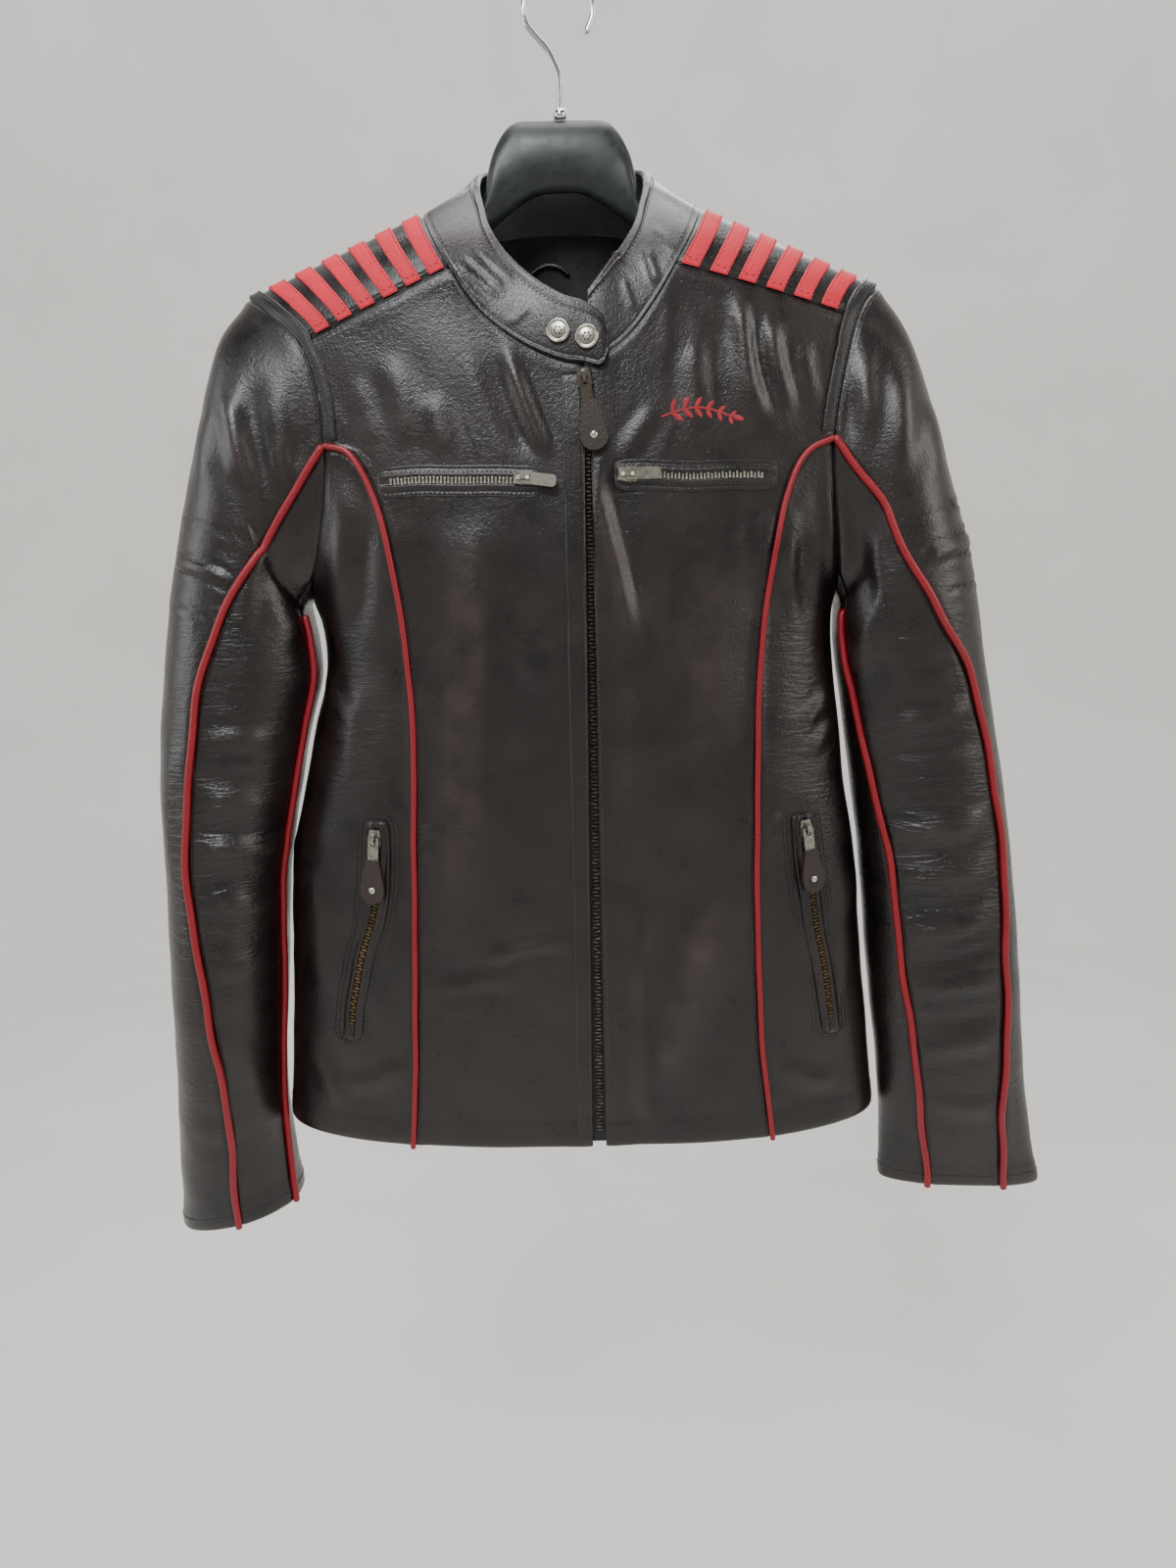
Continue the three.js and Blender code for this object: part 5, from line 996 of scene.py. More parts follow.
def front_side(side):
    def top(c):
        return armhole(side, np.interp(c, range(5), [180, 150, 130, 110, 90]))
    ends = shell_ends(PANEL_STEP)
    s = arc_places(lambda t: princess(side, t), 0, 9, PANEL_STEP, ends, ends)
    c = arc_places(top, 0, 4, PANEL_STEP, ends, ends)
    hip = SIDES[side] * math.pi / 2
    turn = hip + (turn_of(princess(side, 0.0)) - hip) * c / 4
    x = half_width(turn, np.full(c.shape, HEM_FRONT)) * np.sin(turn)
    bottom = front(x, hem_z(x, -1))
    p = patch(-1, (bottom, c / 4), (top(c), 0), (side_seam(side, s), s / 9), (princess(side, s), 0))
    edges = [TURNED, SEAM, SEAM, SEAM]
    obj, moved, normals = leather_panel(f"front_side_{side}_shell", p,
                                        (SIDES[side] * 0.5, -1, 0), edges)
    PANELS[f"front_side_{side}"] = (moved, normals)
    return add(obj, [f"front_side_{side}"])


def back_edge(side, s):
    s = np.asarray(s, float)
    upper = armhole(side, np.interp(s, range(9, 15), [-180, -157, -134, -110, -76, -44]))
    return np.where((s > 9)[..., None], upper, side_seam(side, np.minimum(s, 9)))


def back_panel():
    def top(c):
        right_neck = through(NECKS["right"], np.clip(6 + c, 0, 13))
        left_neck = through(NECKS["left"], np.clip(20 - c, 0, 13))
        neck = np.where((c < 7)[..., None], right_neck, left_neck)
        near = shoulder("right", 6, np.clip(1 - c / 4, 0, 1))
        far = shoulder("left", 6, np.clip((c - 10) / 4, 0, 1))
        return np.where((c < 4)[..., None], near, np.where((c > 10)[..., None], far, neck))
    ends = shell_ends(PANEL_STEP)
    step = PANEL_STEP * 1.12
    low = arc_places(lambda t: side_seam("right", t), 0, 9, step, ends)
    high = arc_places(lambda t: back_edge("right", t), 9, 14, step, (), ends)
    c = arc_places(lambda t: turned((t / 14 - 0.5) * math.pi, np.full(t.shape, -600.0), 1), 0, 14,
                   step, ends, ends)
    turn = (c / 14 - 0.5) * math.pi
    x = half_width(turn, np.full(c.shape, HEM_BACK)) * np.sin(turn)
    bottom = torso(x, hem_z(x, 1), 1)
    level = turned(turn, np.full(c.shape, float(ARM_LOW)), 1)
    lower = patch(1, (bottom, c / 14), (level, 0), (back_edge("right", low), low / 9),
                  (back_edge("left", low), 0))
    upper = patch(1, (level, c / 14), (top(c), 0), (back_edge("right", high), (high - 9) / 5),
                  (back_edge("left", high), 0))
    p = np.concatenate([lower, upper[1:]])
    edges = [TURNED, SEAM, SEAM, SEAM]
    obj, moved, normals = leather_panel("back_shell", p, (0, 1, 0), edges)
    PANELS["back"] = (moved, normals)
    return add(obj, ["back"])


def shoulder_panel(side):
    ends = shell_ends(PANEL_STEP)
    r = arc_places(lambda t: shoulder(side, t, 0.5), 0, 6, 2.6, ends, ends)
    part = arc_places(lambda t: shoulder(side, 3, t), 0, 1, 2.6, ends, ends)
    p = shoulder(side, r[:, None], part[None, :])
    obj, moved, normals = leather_panel(f"shoulder_panel_{side}_shell", p,
                                        (0, 0, 1), [SEAM] * 4, quiet=0.4)
    PANELS[f"shoulder_panel_{side}"] = (moved, normals)
    return add(obj, [f"shoulder_panel_{side}"])


# ---------------------------------------------------------------- sleeves

SLEEVE_POWER = 2.2
EDGE_STARTS = {"outer": (SLEEVE_BACK, 90), "front": (90, 150), "under": (150, 250)}


def panel_angles(side, panel):
    """The angles of a sleeve panel's two edges at the armhole and at each ring."""
    rings = RINGS[side]
    low = {"outer": rings["outer"] * 0 + SLEEVE_BACK, "front": rings["outer"], "under": rings["inner"]}
    high = {"outer": rings["outer"], "front": rings["inner"], "under": rings["inner"] * 0 + 250}
    start = EDGE_STARTS[panel]
    return np.r_[start[0], low[panel]], np.r_[start[1], high[panel]]


def ring_points(side, angles):
    """Points of the ten rings at angles of shape (10, n)."""
    rings = RINGS[side]
    turn = np.radians(angles)
    c, s = np.cos(turn), np.sin(turn)
    c = np.sign(c) * np.abs(c) ** (2 / SLEEVE_POWER)
    s = np.sign(s) * np.abs(s) ** (2 / SLEEVE_POWER)
    at = {k: rings[k][:, None] for k in rings}
    x = (at["ox"] + at["ix"]) / 2 + (at["ox"] - at["ix"]) / 2 * c
    z = (at["oz"] + at["iz"]) / 2 + (at["oz"] - at["iz"]) / 2 * c
    return np.stack([SIDES[side] * x, at["y"] - at["depth"] * s, z], -1)


def sleeve_points(side, panel, part, place):
    """Points of a sleeve panel: part across it (0 to 1), place down its stations (0 to 10)."""
    low, high = panel_angles(side, panel)
    part = np.atleast_1d(np.asarray(part, float))
    angles = low[:, None] + (high - low)[:, None] * part[None]
    stations = np.concatenate([armhole(side, angles[0])[None], ring_points(side, angles[1:])])
    return through(stations, np.atleast_1d(np.asarray(place, float)))


def rib_height(side):
    """The stitched ribs: a raised band between the second and third lines, dips on all four."""
    def height(p, n, away):
        x, z = p[..., 0], p[..., 2]
        total = np.zeros(x.shape)
        facing = smooth((-n[..., 1] + 0.3) / 0.4)
        for k, (a, b) in enumerate(RIBS[side]):
            dist, along = to_line(x, z, [a, b], 12)
            inside = smooth(np.minimum(along, 1 - along) * 9 + 0.3)
            total -= 1.3 * np.exp(-((dist / 1.3) ** 2)) * inside * facing
            total += 0.7 * np.exp(-(((dist - 3.4) / 1.6) ** 2)) * inside * facing
        (a1, b1), (a2, b2) = RIBS[side][1:3]
        middle = [((a1[0] + a2[0]) / 2, (a1[1] + a2[1]) / 2), ((b1[0] + b2[0]) / 2, (b1[1] + b2[1]) / 2)]
        dist, along = to_line(x, z, middle, 12)
        total += 1.6 * np.exp(-((dist / 3.6) ** 2)) * smooth(np.minimum(along, 1 - along) * 8) * facing
        return total
    return height


def sleeve_panel(side, panel):
    ends = shell_ends(PANEL_STEP)
    place = arc_places(lambda t: sleeve_points(side, panel, 0.5, t)[:, 0], 0, 10, PANEL_STEP, ends, ends)
    part = arc_places(lambda t: sleeve_points(side, panel, t, 5.0)[0], 0, 1, PANEL_STEP, ends, ends)
    p = sleeve_points(side, panel, part, place)
    toward = {"outer": (SIDES[side], -0.2, 0), "front": (0, -1, 0), "under": (-SIDES[side], 0.4, 0)}
    extra = rib_height(side) if panel == "outer" else None
    obj, moved, normals = leather_panel(f"sleeve_{panel}_{side}_shell", p, toward[panel],
                                        [SEAM, TURNED, SEAM, SEAM], extra=extra)
    PANELS[f"sleeve_{panel}_{side}"] = (moved, normals)
    return add(obj, [f"sleeve_{panel}_{side}"])


# ---------------------------------------------------------------- piping and sewn-on strips

FRONT_PIPING, SLEEVE_PIPING = 4.0, 5.0


def wobbled(line, normals, amount, seed):
    """A line wandering sideways a little, as a sewn cord does."""
    run = run_of(line)
    side = unit(np.cross(np.gradient(line, axis=0), normals))
    sway = amount * (np.sin(run / 21 + seed) + 0.6 * np.sin(run / 9.5 + 2.1 * seed)
                     + 0.4 * np.sin(run / 47 + 0.7 * seed))
    return line + side * (sway * smooth(run / 30) * smooth((run[-1] - run) / 12))[:, None]


def front_piping(side):
    first = 8.93
    s = arc_places(lambda t: princess(side, t), 0, first, 1.8)
    line = princess(side, s)
    left, right = princess(side, s) + [-2, 0, 0], princess(side, s) + [2, 0, 0]
    across = front(right[:, 0], right[:, 2]) - front(left[:, 0], left[:, 2])
    normals = unit(np.cross(across, np.gradient(line, axis=0)))
    normals = np.where(normals[:, 1:2] > 0, -normals, normals)
    radius = FRONT_PIPING / 2
    line = wobbled(line, normals, 0.22, 1.7 if side == "left" else 0.4)
    line = line + normals * (radius * 0.72 + crease_height(line, normals)[:, None] * 0.5)
    line[0] += [0, 0, -1.0]
    obj = cord(f"piping_front_{side}_cord", line, normals, radius, [PIPING_MAT], 12)
    return add(obj, [f"piping_front_{side}"])


def sleeve_piping(side, which):
    panel = "outer" if which == "outer" else "front"
    first = 0.02 if which == "outer" else 2.0
    place = arc_places(lambda t: sleeve_points(side, panel, 1.0, t)[:, 0], first, 10, 2.4)
    line = sleeve_points(side, panel, 1.0, place)[:, 0]
    far = ("outer", 0.93) if which == "outer" else ("under", 0.08)
    across = sleeve_points(side, "front", 0.08 if which == "outer" else 0.92, place)[:, 0]
    across = across - sleeve_points(side, far[0], far[1], place)[:, 0]
    normals = unit(np.cross(across, np.gradient(line, axis=0)))
    flip = np.where(normals[:, 1:2] > 0.15, -1, 1)
    normals = normals * flip
    radius = SLEEVE_PIPING / 2
    amount = {"outer": 0.9, "inner": 0.45}[which] * (1.3 if side == "left" else 0.8)
    line = wobbled(line, normals, amount, 2.6 if side == "left" else 0.9)
    line = line + normals * (radius * 0.72 + crease_height(line, normals)[:, None] * 0.5)
    obj = cord(f"piping_sleeve_{which}_{side}_cord", line, normals, radius, [PIPING_MAT], 12)
    return add(obj, [f"piping_sleeve_{which}_{side}"])


def rounding(p, width):
    """Rises from the edges of a strip over its rounded border: 0.3 at the edge, 1 inside."""
    d = np.minimum.reduce(edge_distances(p))
    t = np.clip(d / width, 0, 1)
    return 0.3 + 0.7 * np.sqrt(1 - (1 - t) ** 2)


def pad(name, p, toward, lift, thick, mats, border=1.2, relief=None):
    """A strip lying on the form p, lifted off it, with rounded borders."""
    n = normals_of(p, toward)
    high = thick * rounding(p, border)
    if relief is not None:
        high = np.maximum(high + relief, 0.25)
    outer = p + n * (lift + high)[..., None]
    d = np.minimum.reduce(edge_distances(p))
    facts = {"lift": high * 0 + 0.4, "seam": d + 1.4}
    return shell(name, outer, -n * high[..., None], mats, facts), outer, n


STRIPES = 6
STRIPE_FIRST, STRIPE_PITCH, STRIPE_WIDTH = 0.025, 0.152, 0.095


def stripe(side, k):
    r = arc_places(lambda t: shoulder(side, t, 0.5), 0.02, 5.98, 2.0, (0.4, 0.9, 1.6), (0.4, 0.9, 1.6))
    start = STRIPE_FIRST + k * STRIPE_PITCH
    part = start + STRIPE_WIDTH * np.array([0, 0.04, 0.1, 0.22, 0.4, 0.6, 0.78, 0.9, 0.96, 1])
    p = shoulder(side, r[:, None], part[None])
    run = run_of(p[:, 5])
    wave = 0.12 * np.sin(run / 7 + k) + 0.1 * np.sin(run / 3.1 + 2 * k)
    fold = -0.55 * np.exp(-(((run - 5) / 0.7) ** 2)) - 0.45 * np.exp(-(((run[-1] - run - 5) / 0.7) ** 2))
    relief = (wave + fold)[:, None] * np.ones(p.shape[1])[None]
    obj, outer, n = pad(f"stripe_{side}_{k + 1}", p, (0, 0, 1), 0.4, 1.2, [RED_MAT], 0.7, relief)
    add(obj, [f"shoulder_stripe_{side}_{k + 1}"])
    return [(outer[2:-2, 2], n[2:-2, 2]), (outer[2:-2, -3], n[2:-2, -3]),
            (outer[4, 2:-2] * 1.0, n[4, 2:-2])]


BAND_WIDTH, BAND_REACH = 9.0, 0.9


def armhole_band(side):
    start = 88 if SHOULDER_FRONT[side] < 90 else 60
    fine = np.linspace(start, -92, 200)
    seam = armhole(side, fine)
    at = places(seam, 2.4, (0.5, 1.2), (0.5, 1.2))
    seam = armhole(side, np.interp(at, np.arange(200), fine))
    x = seam[:, 0] - SIDES[side] * BAND_WIDTH
    fold = fold_of(seam)
    over = ridge(x, fold)
    past = torso(x, seam[:, 2], -1)
    behind = torso(x, seam[:, 2], 1)
    flat = np.where((seam[:, 1:2] > 0), behind, past)
    inner = np.where((np.abs(fold) < 90)[:, None], over, flat)
    t = np.array([0, 0.05, 0.14, 0.35, 0.6, 0.84, 0.95, 1])[None, :, None]
    outer_side = inner + (seam - inner) * BAND_REACH
    p = outer_side[:, None] * (1 - t) + inner[:, None] * t
    obj, outer, n = pad(f"armhole_band_{side}_strip", p, (0, 0, 1), 0.5, 1.4, [BAND_MAT], 1.3)
    add(obj, [f"armhole_band_{side}"])
    return [(outer[2:-2, 2], n[2:-2, 2]), (outer[2:-2, -3], n[2:-2, -3])]


def placket():
    z = np.linspace(-247, HEM_FRONT + 1, 190)
    edge = column(ZIP_EDGE, "z", z, "right") - 0.3
    width = 14 - 4 * (z + 247) / (HEM_FRONT + 248)
    t = np.array([0, 0.04, 0.1, 0.22, 0.4, 0.6, 0.78, 0.9, 0.96, 1])
    x = edge[:, None] - width[:, None] * (1 - t)[None]
    p = front(x, z[:, None] + x * 0)
    wave = 0.4 * np.sin(z / 27) + 0.3 * np.sin(z / 11.5 + 1)
    obj, outer, n = pad("placket_right_strip", p, (0, -1, 0), 0.5, 1.5, [LEATHER_MAT], 1.4,
                        wave[:, None] + x * 0)
    add(obj, ["placket_right"])
    return [(outer[3:-3, 2], n[3:-3, 2]), (outer[3:-3, -3], n[3:-3, -3])]


def tooth_row(name, line, normals, mat, pitch, wide):
    """Zip teeth along a line: small tapered blocks, set alternately to the two sides."""
    total = run_of(line)[-1]
    count = int(total // pitch)
    verts, faces = [], []
    along = unit(np.gradient(line, axis=0))
    for k in range(count):
        s = np.array([(k + 0.5) * pitch])
        q = along_run(line, s)[0]
        n = unit(along_run_values(line, normals, s))[0]
        a = unit(along_run_values(line, along, s))[0]
        c = np.cross(a, n)
        q = q + c * (0.42 if k % 2 else -0.42)
        base = len(verts)
        for high, shrink in ((-0.2, 1.0), (0.95, 1.0), (1.35, 0.62)):
            for i, j in ((-1, -1), (1, -1), (1, 1), (-1, 1)):
                verts.append(q + a * i * pitch * 0.33 * shrink + c * j * wide / 2 * shrink + n * high)
        for level in (0, 4):
            for m in range(4):
                faces.append([base + level + m, base + level + (m + 1) % 4,
                              base + level + 4 + (m + 1) % 4, base + level + 4 + m])
        faces.append([base + 3, base + 2, base + 1, base])
        faces.append([base + 8, base + 9, base + 10, base + 11])
    return add(make(name, np.array(verts), faces, [mat], flat=True))


def welt_relief(w, half):
    """Height across a zip welt: a recess for the teeth, two lips, then the flat welt."""
    w = np.abs(w)
    lips = 1.0 * np.exp(-(((w - 3.4) / 1.05) ** 2))
    recess = -1.15 * smooth((2.5 - w) / 1.0)
    line = -0.35 * np.exp(-(((w - half * 0.72) / 0.5) ** 2))
    return lips + recess + line


def chest_zip(side):
    start, end, z0, slider_x, _ = CHEST[side]
    u = np.concatenate([[0, 0.004, 0.01, 0.02, 0.035], np.linspace(0.055, 0.945, 54),
                        [0.965, 0.98, 0.99, 0.996, 1]])
    x = start + (end - start) * u
    ends = np.clip(np.minimum(u, 1 - u) * (end - start) / 8.5, 0, 1)
    half = 9.5 * (0.55 + 0.45 * np.sqrt(1 - (1 - ends) ** 2))
    w = np.linspace(-1, 1, 35)
    middle = z0 - u
    drift = 0.5 * np.sin(x / 17) + 0.3 * np.sin(x / 7.7 + 1)
    z = middle[:, None] + drift[:, None] + half[:, None] * w[None]
    p = front(x[:, None] + w[None] * 0, z)
    relief = welt_relief(half[:, None] * w[None], 9.5) * smooth(ends)[:, None]
    obj, outer, n = pad(f"chest_zip_{side}_welt", p, (0, -1, 0), 0.5, 1.35, [LEATHER_MAT], 1.2, relief)
    add(obj, [f"chest_zip_{side}"])
    mid = outer.shape[1] // 2
    tooth_row(f"chest_teeth_{side}", outer[6:-6, mid], n[6:-6, mid], TEETH_MAT, 2.3, 4.4)
    lines = []
    for j in (3, 7, 27, 31):
        lines.append((outer[3:-3, j], n[3:-3, j]))
    return lines


def hand_zip(side):
    rows = HAND[side]
    z = np.linspace(rows["z"][0], rows["z"][-1], 80)
    x, half = column(rows, "z", z, "x"), column(rows, "z", z, "half")
    ends = np.clip(np.minimum(rows["z"][0] - z, z - rows["z"][-1]) / 7, 0, 1)
    half = half * (0.5 + 0.5 * np.sqrt(1 - (1 - ends) ** 2))
    w = np.linspace(-1, 1, 31)
    drift = 0.6 * np.sin(z / 19) + 0.3 * np.sin(z / 8)
    across = x[:, None] + drift[:, None] + half[:, None] * w[None]
    p = front(across, z[:, None] + w[None] * 0)
    relief = welt_relief(half[:, None] * w[None], 8.5) * smooth(ends)[:, None]
    obj, outer, n = pad(f"hand_zip_{side}_welt", p, (0, -1, 0), 0.5, 1.35, [LEATHER_MAT], 1.2, relief)
    add(obj, [f"hand_zip_{side}"])
    mid = outer.shape[1] // 2
    tooth_row(f"hand_teeth_{side}", outer[5:-5, mid], n[5:-5, mid], BRASS_MAT, 2.4, 3.6)
    frame_lines = []
    for grow in (2.6, 5.4):
        line = np.concatenate([
            np.c_[x - half - grow, z], np.c_[[x[-1]], [z[-1] - grow]], np.c_[x + half + grow, z][::-1],
            np.c_[[x[0]], [z[0] + grow]]])
        pts = front(line[:, 0], line[:, 1])
        frame_lines.append((pts + [0, -0.45, 0], np.tile([0.0, -1.0, 0.0], (len(pts), 1))))
    return frame_lines + [(outer[3:-3, 2], n[3:-3, 2]), (outer[3:-3, -3], n[3:-3, -3])]


def front_zip():
    z = np.linspace(-247, HEM_FRONT + 3, 150)
    t = np.linspace(-11, 11, 9)
    p = front(14 + t[None] + z[:, None] * 0, z[:, None] + t[None] * 0)
    n = normals_of(p, (0, -1, 0))
    outer = p - n * 2.3
    facts = {"lift": p[..., 0] * 0, "seam": p[..., 0] * 0 + 9}
    add(shell("front_zip_tape", outer, -n * 1.4, [TAPE_MAT], facts), ["front_zip"])
    line = outer[4:-2, 4]
    tooth_row("front_teeth", line + n[4:-2, 4] * 0.3, n[4:-2, 4], DARK_METAL_MAT, 2.5, 4.0)


# ---------------------------------------------------------------- collar

COLLAR_CREASES = [
    ([(-70, -187), (-57, -198), (-45, -207)], 1.7, 0.9), ([(-67, -179), (-52, -191), (-38, -202)], 1.6, 1.1),
    ([(-62, -172), (-47, -186), (-34, -198)], 1.7, 1.2), ([(-56, -167), (-42, -181), (-29, -194)], 1.5, 0.9),
    ([(-36, -216), (-28, -214), (-18, -204)], 1.8, 0.8), ([(58, -196), (56, -186), (51, -172)], 2.8, 1.3),
    ([(44, -212), (41, -203), (37, -190)], 2.2, 0.6), ([(69, -178), (64, -168), (57, -158)], 2.4, 0.6),
]


def collar_edges():
    base, top = [], []
    for b, t in COLLAR_TAB:
        base.append(b)
        top.append(t)
    for k in range(14):
        base.append(NECKS["right"][k] - [0, COLLAR_TOP["proud"][k], 0])
        top.append((-COLLAR_TOP["x"][k], COLLAR_TOP["y"][k], COLLAR_TOP["z"][k]))
    for k in range(12, -1, -1):
        base.append(NECKS["left"][k])
        own = COLLAR_LEFT_FRONT[k] if k < 3 else [COLLAR_TOP[c][k] for c in "xyz"]
        top.append(own)
    return np.array(base, float), np.array(top, float)


def collar():
    base_at, top_at = collar_edges()
    last = len(base_at) - 1
    place = arc_places(lambda t: through(base_at, t), 0, last, 2.0, (0.5, 1.2, 2.2), (0.5, 1.2, 2.2))
    base, top = through(base_at, place), through(top_at, place)
    v = np.concatenate([[0, 0.02, 0.05], np.linspace(0.1, 0.9, 15), [0.95, 0.98, 1]])[None, :, None]
    p = base[:, None] * (1 - v) + top[:, None] * v
    chamfer = np.clip(1 - run_of(base) / 3.2, 0, 1)[:, None]
    squeeze = (v[..., 0] - 0.5) * -2 * 3.0 * chamfer
    up = unit(top - base)[:, None]
    p = p + up * squeeze[..., None]
    n = unit(np.cross(np.gradient(p, axis=0), np.gradient(p, axis=1)))
    outward = np.stack([p[..., 0], p[..., 1], p[..., 0] * 0], -1)
    outward[place < 4] = [0, -1, 0]
    n = n * np.where((n * outward).sum(-1) < 0, -1, 1)[..., None]
    height = 0.9 * np.sin(v[..., 0] * math.pi) * np.ones(p.shape[:2])
    facing = smooth((-n[..., 1] + 0.1) / 0.4)
    for line, width, high in COLLAR_CREASES:
        dist, along = to_line(p[..., 0], p[..., 2], line, 12)
        height = height + high * facing * np.exp(-((dist / width) ** 2)) * smooth(np.minimum(along, 1 - along) * 4)
    height = height * smooth(np.minimum.reduce(edge_distances(p)) / 5)
    seam = np.minimum(*edge_distances(p)[2:])
    moved = p + n * height[..., None]
    obj = shell("collar_stand", moved, -n * COLLAR_WALL, [LEATHER_MAT, FACING_MAT],
                {"lift": height, "seam": seam + 0.8})
    add(obj, ["collar"])
    PANELS["collar"] = (moved, n)
    # a turned binding round the top edge
    binding(moved, n)
    low = offset_line(moved, n, 2, 4.6, (3, 3))
    high = offset_line(moved, n, 3, 6.6, (3, 3))
    ends = [offset_line(moved, n, 0, 2.6, (3, 3)), offset_line(moved, n, 1, 2.6, (3, 3))]
    return [low, high] + ends


def binding(moved, n):
    """A soft strip folded over the collar's top edge."""
    deep, thick = 5.4, 0.7
    edge = moved[:, -1]
    up = unit(moved[:, -1] - moved[:, -4])
    nor = n[:, -1]
    rounds = np.radians(np.arange(0, 181, 30))
    section = [(-deep, thick), (-deep * 0.6, thick * 1.1), (-1.2, thick * 1.05)]
    section += [(1.0 * math.sin(a) - 0.4, (COLLAR_WALL / 2 + thick) * math.cos(a) - COLLAR_WALL / 2)
                for a in rounds]
    section += [(-1.2, -COLLAR_WALL - thick), (-deep, -COLLAR_WALL - thick)]
    profile = np.array(section)
    p = edge[:, None] + up[:, None] * profile[None, :, :1] + nor[:, None] * profile[None, :, 1:]
    thickness = np.gradient(p, axis=1)
    inward = unit(np.cross(thickness, np.gradient(p, axis=0)))
    centre = edge - nor * COLLAR_WALL / 2 - up * 2
    wrong = ((centre[:, None] - p) * inward).sum(-1) < 0
    inward = inward * np.where(wrong, -1, 1)[..., None]
    facts = {"lift": np.full(p.shape[:2], 1.2), "seam": np.full(p.shape[:2], 2.0)}
    add(shell("collar_binding", p, inward * 0.5, [LEATHER_MAT], facts))


def neck_facing():
    c = np.linspace(-1, 1, 60)
    x = c * 76
    rows = []
    for drop in np.linspace(-5, 44, 18):
        p = torso(x, np.full(60, -147.0) - drop - 18 * (np.abs(c) ** 3), 1)
        rows.append(p)
    p = np.stack(rows)
    n = normals_of(p, (0, -1, 0))
    outer = p + n * 3.4
    add(shell("neck_facing_panel", outer, -n * 1.1, [FACING_MAT]), ["neck_facing"])
    loop_t = np.linspace(-1, 1, 40)
    lx = -10 + loop_t * 13
    lz = -168 + 6 * (1 - loop_t**2)
    base = torso(lx, lz, 1)
    line = base + [0, -5.2, 0]
    normals = np.tile([0.0, -1.0, 0.0], (40, 1))
    add(cord("hang_loop", line, normals, 1.5, [LEATHER_MAT], 8))


# ---------------------------------------------------------------- seams' stitching


def panel_stitches():
    """Topstitching beside the piped seams, round the cuffs and along the front edges."""
    lines = []
    for side in SIDES:
        centre, flank = PANELS[f"front_center_{side}"], PANELS[f"front_side_{side}"]
        lines.append(offset_line(*centre, 2, STITCH_IN, (3, 60)))
        lines.append(offset_line(*centre, 3, STITCH_IN, (3, 3)))
        outer = PANELS[f"sleeve_outer_{side}"]
        front_panel, under = PANELS[f"sleeve_front_{side}"], PANELS[f"sleeve_under_{side}"]
        lines.append(offset_line(*outer, 3, STITCH_IN, (6, 3)))
        lines.append(offset_line(*under, 2, STITCH_IN, (40, 3)))
        for panel in (outer, front_panel, under):
            lines.append(offset_line(*panel, 1, 9.5, (3, 3)))
    return [line for line in lines if len(line[0]) > 4]


def rib_stitches():
    lines = []
    for side in SIDES:
        moved, n = PANELS[f"sleeve_outer_{side}"]
        flat_p, flat_n = moved.reshape(-1, 3), n.reshape(-1, 3)
        for a, b in RIBS[side]:
            t = np.linspace(0.03, 0.97, 30)[:, None]
            xz = np.array(a) * (1 - t) + np.array(b) * t
            near = ((flat_p[None, :, 0] - xz[:, None, 0]) ** 2 + (flat_p[None, :, 2] - xz[:, None, 1]) ** 2)
            near = near + (flat_n[None, :, 1] > -0.1) * 1e6
            closest = near.argmin(1)
            good = near.min(1) < 9
            y = flat_p[closest, 1]
            if good.sum() > 5:
                y = np.convolve(np.pad(y, 2, mode="edge"), np.ones(5) / 5, mode="valid")
                pts = np.c_[xz[:, 0], y, xz[:, 1]][good]
                lines.append((pts, flat_n[closest][good]))
    return lines


# ---------------------------------------------------------------- hanger

HANGER = table(
    "x top low half", (0, -84, -128, 9), (14, -84, -129, 9), (28, -84.5, -136, 9), (36, -90, -142, 9),
    (43, -101, -147, 9.5), (47, -113, -151, 9), (49.5, -126, -154, 9), (54, -135, -156, 10),
    (66, -139.5, -162, 12), (92, -146, -174, 14), (125, -159, -190, 17), (158, -172.9, -206, 18),
    (184, -183.8, -217, 17), (192, -190, -214, 12))
HOOK_WIRE, HOOK_RADIUS = 3.8, 21.9
HOOK_STEM = [(0, -81), (0, -68), (-1, -56), (-8, -42), (-16, -33)]


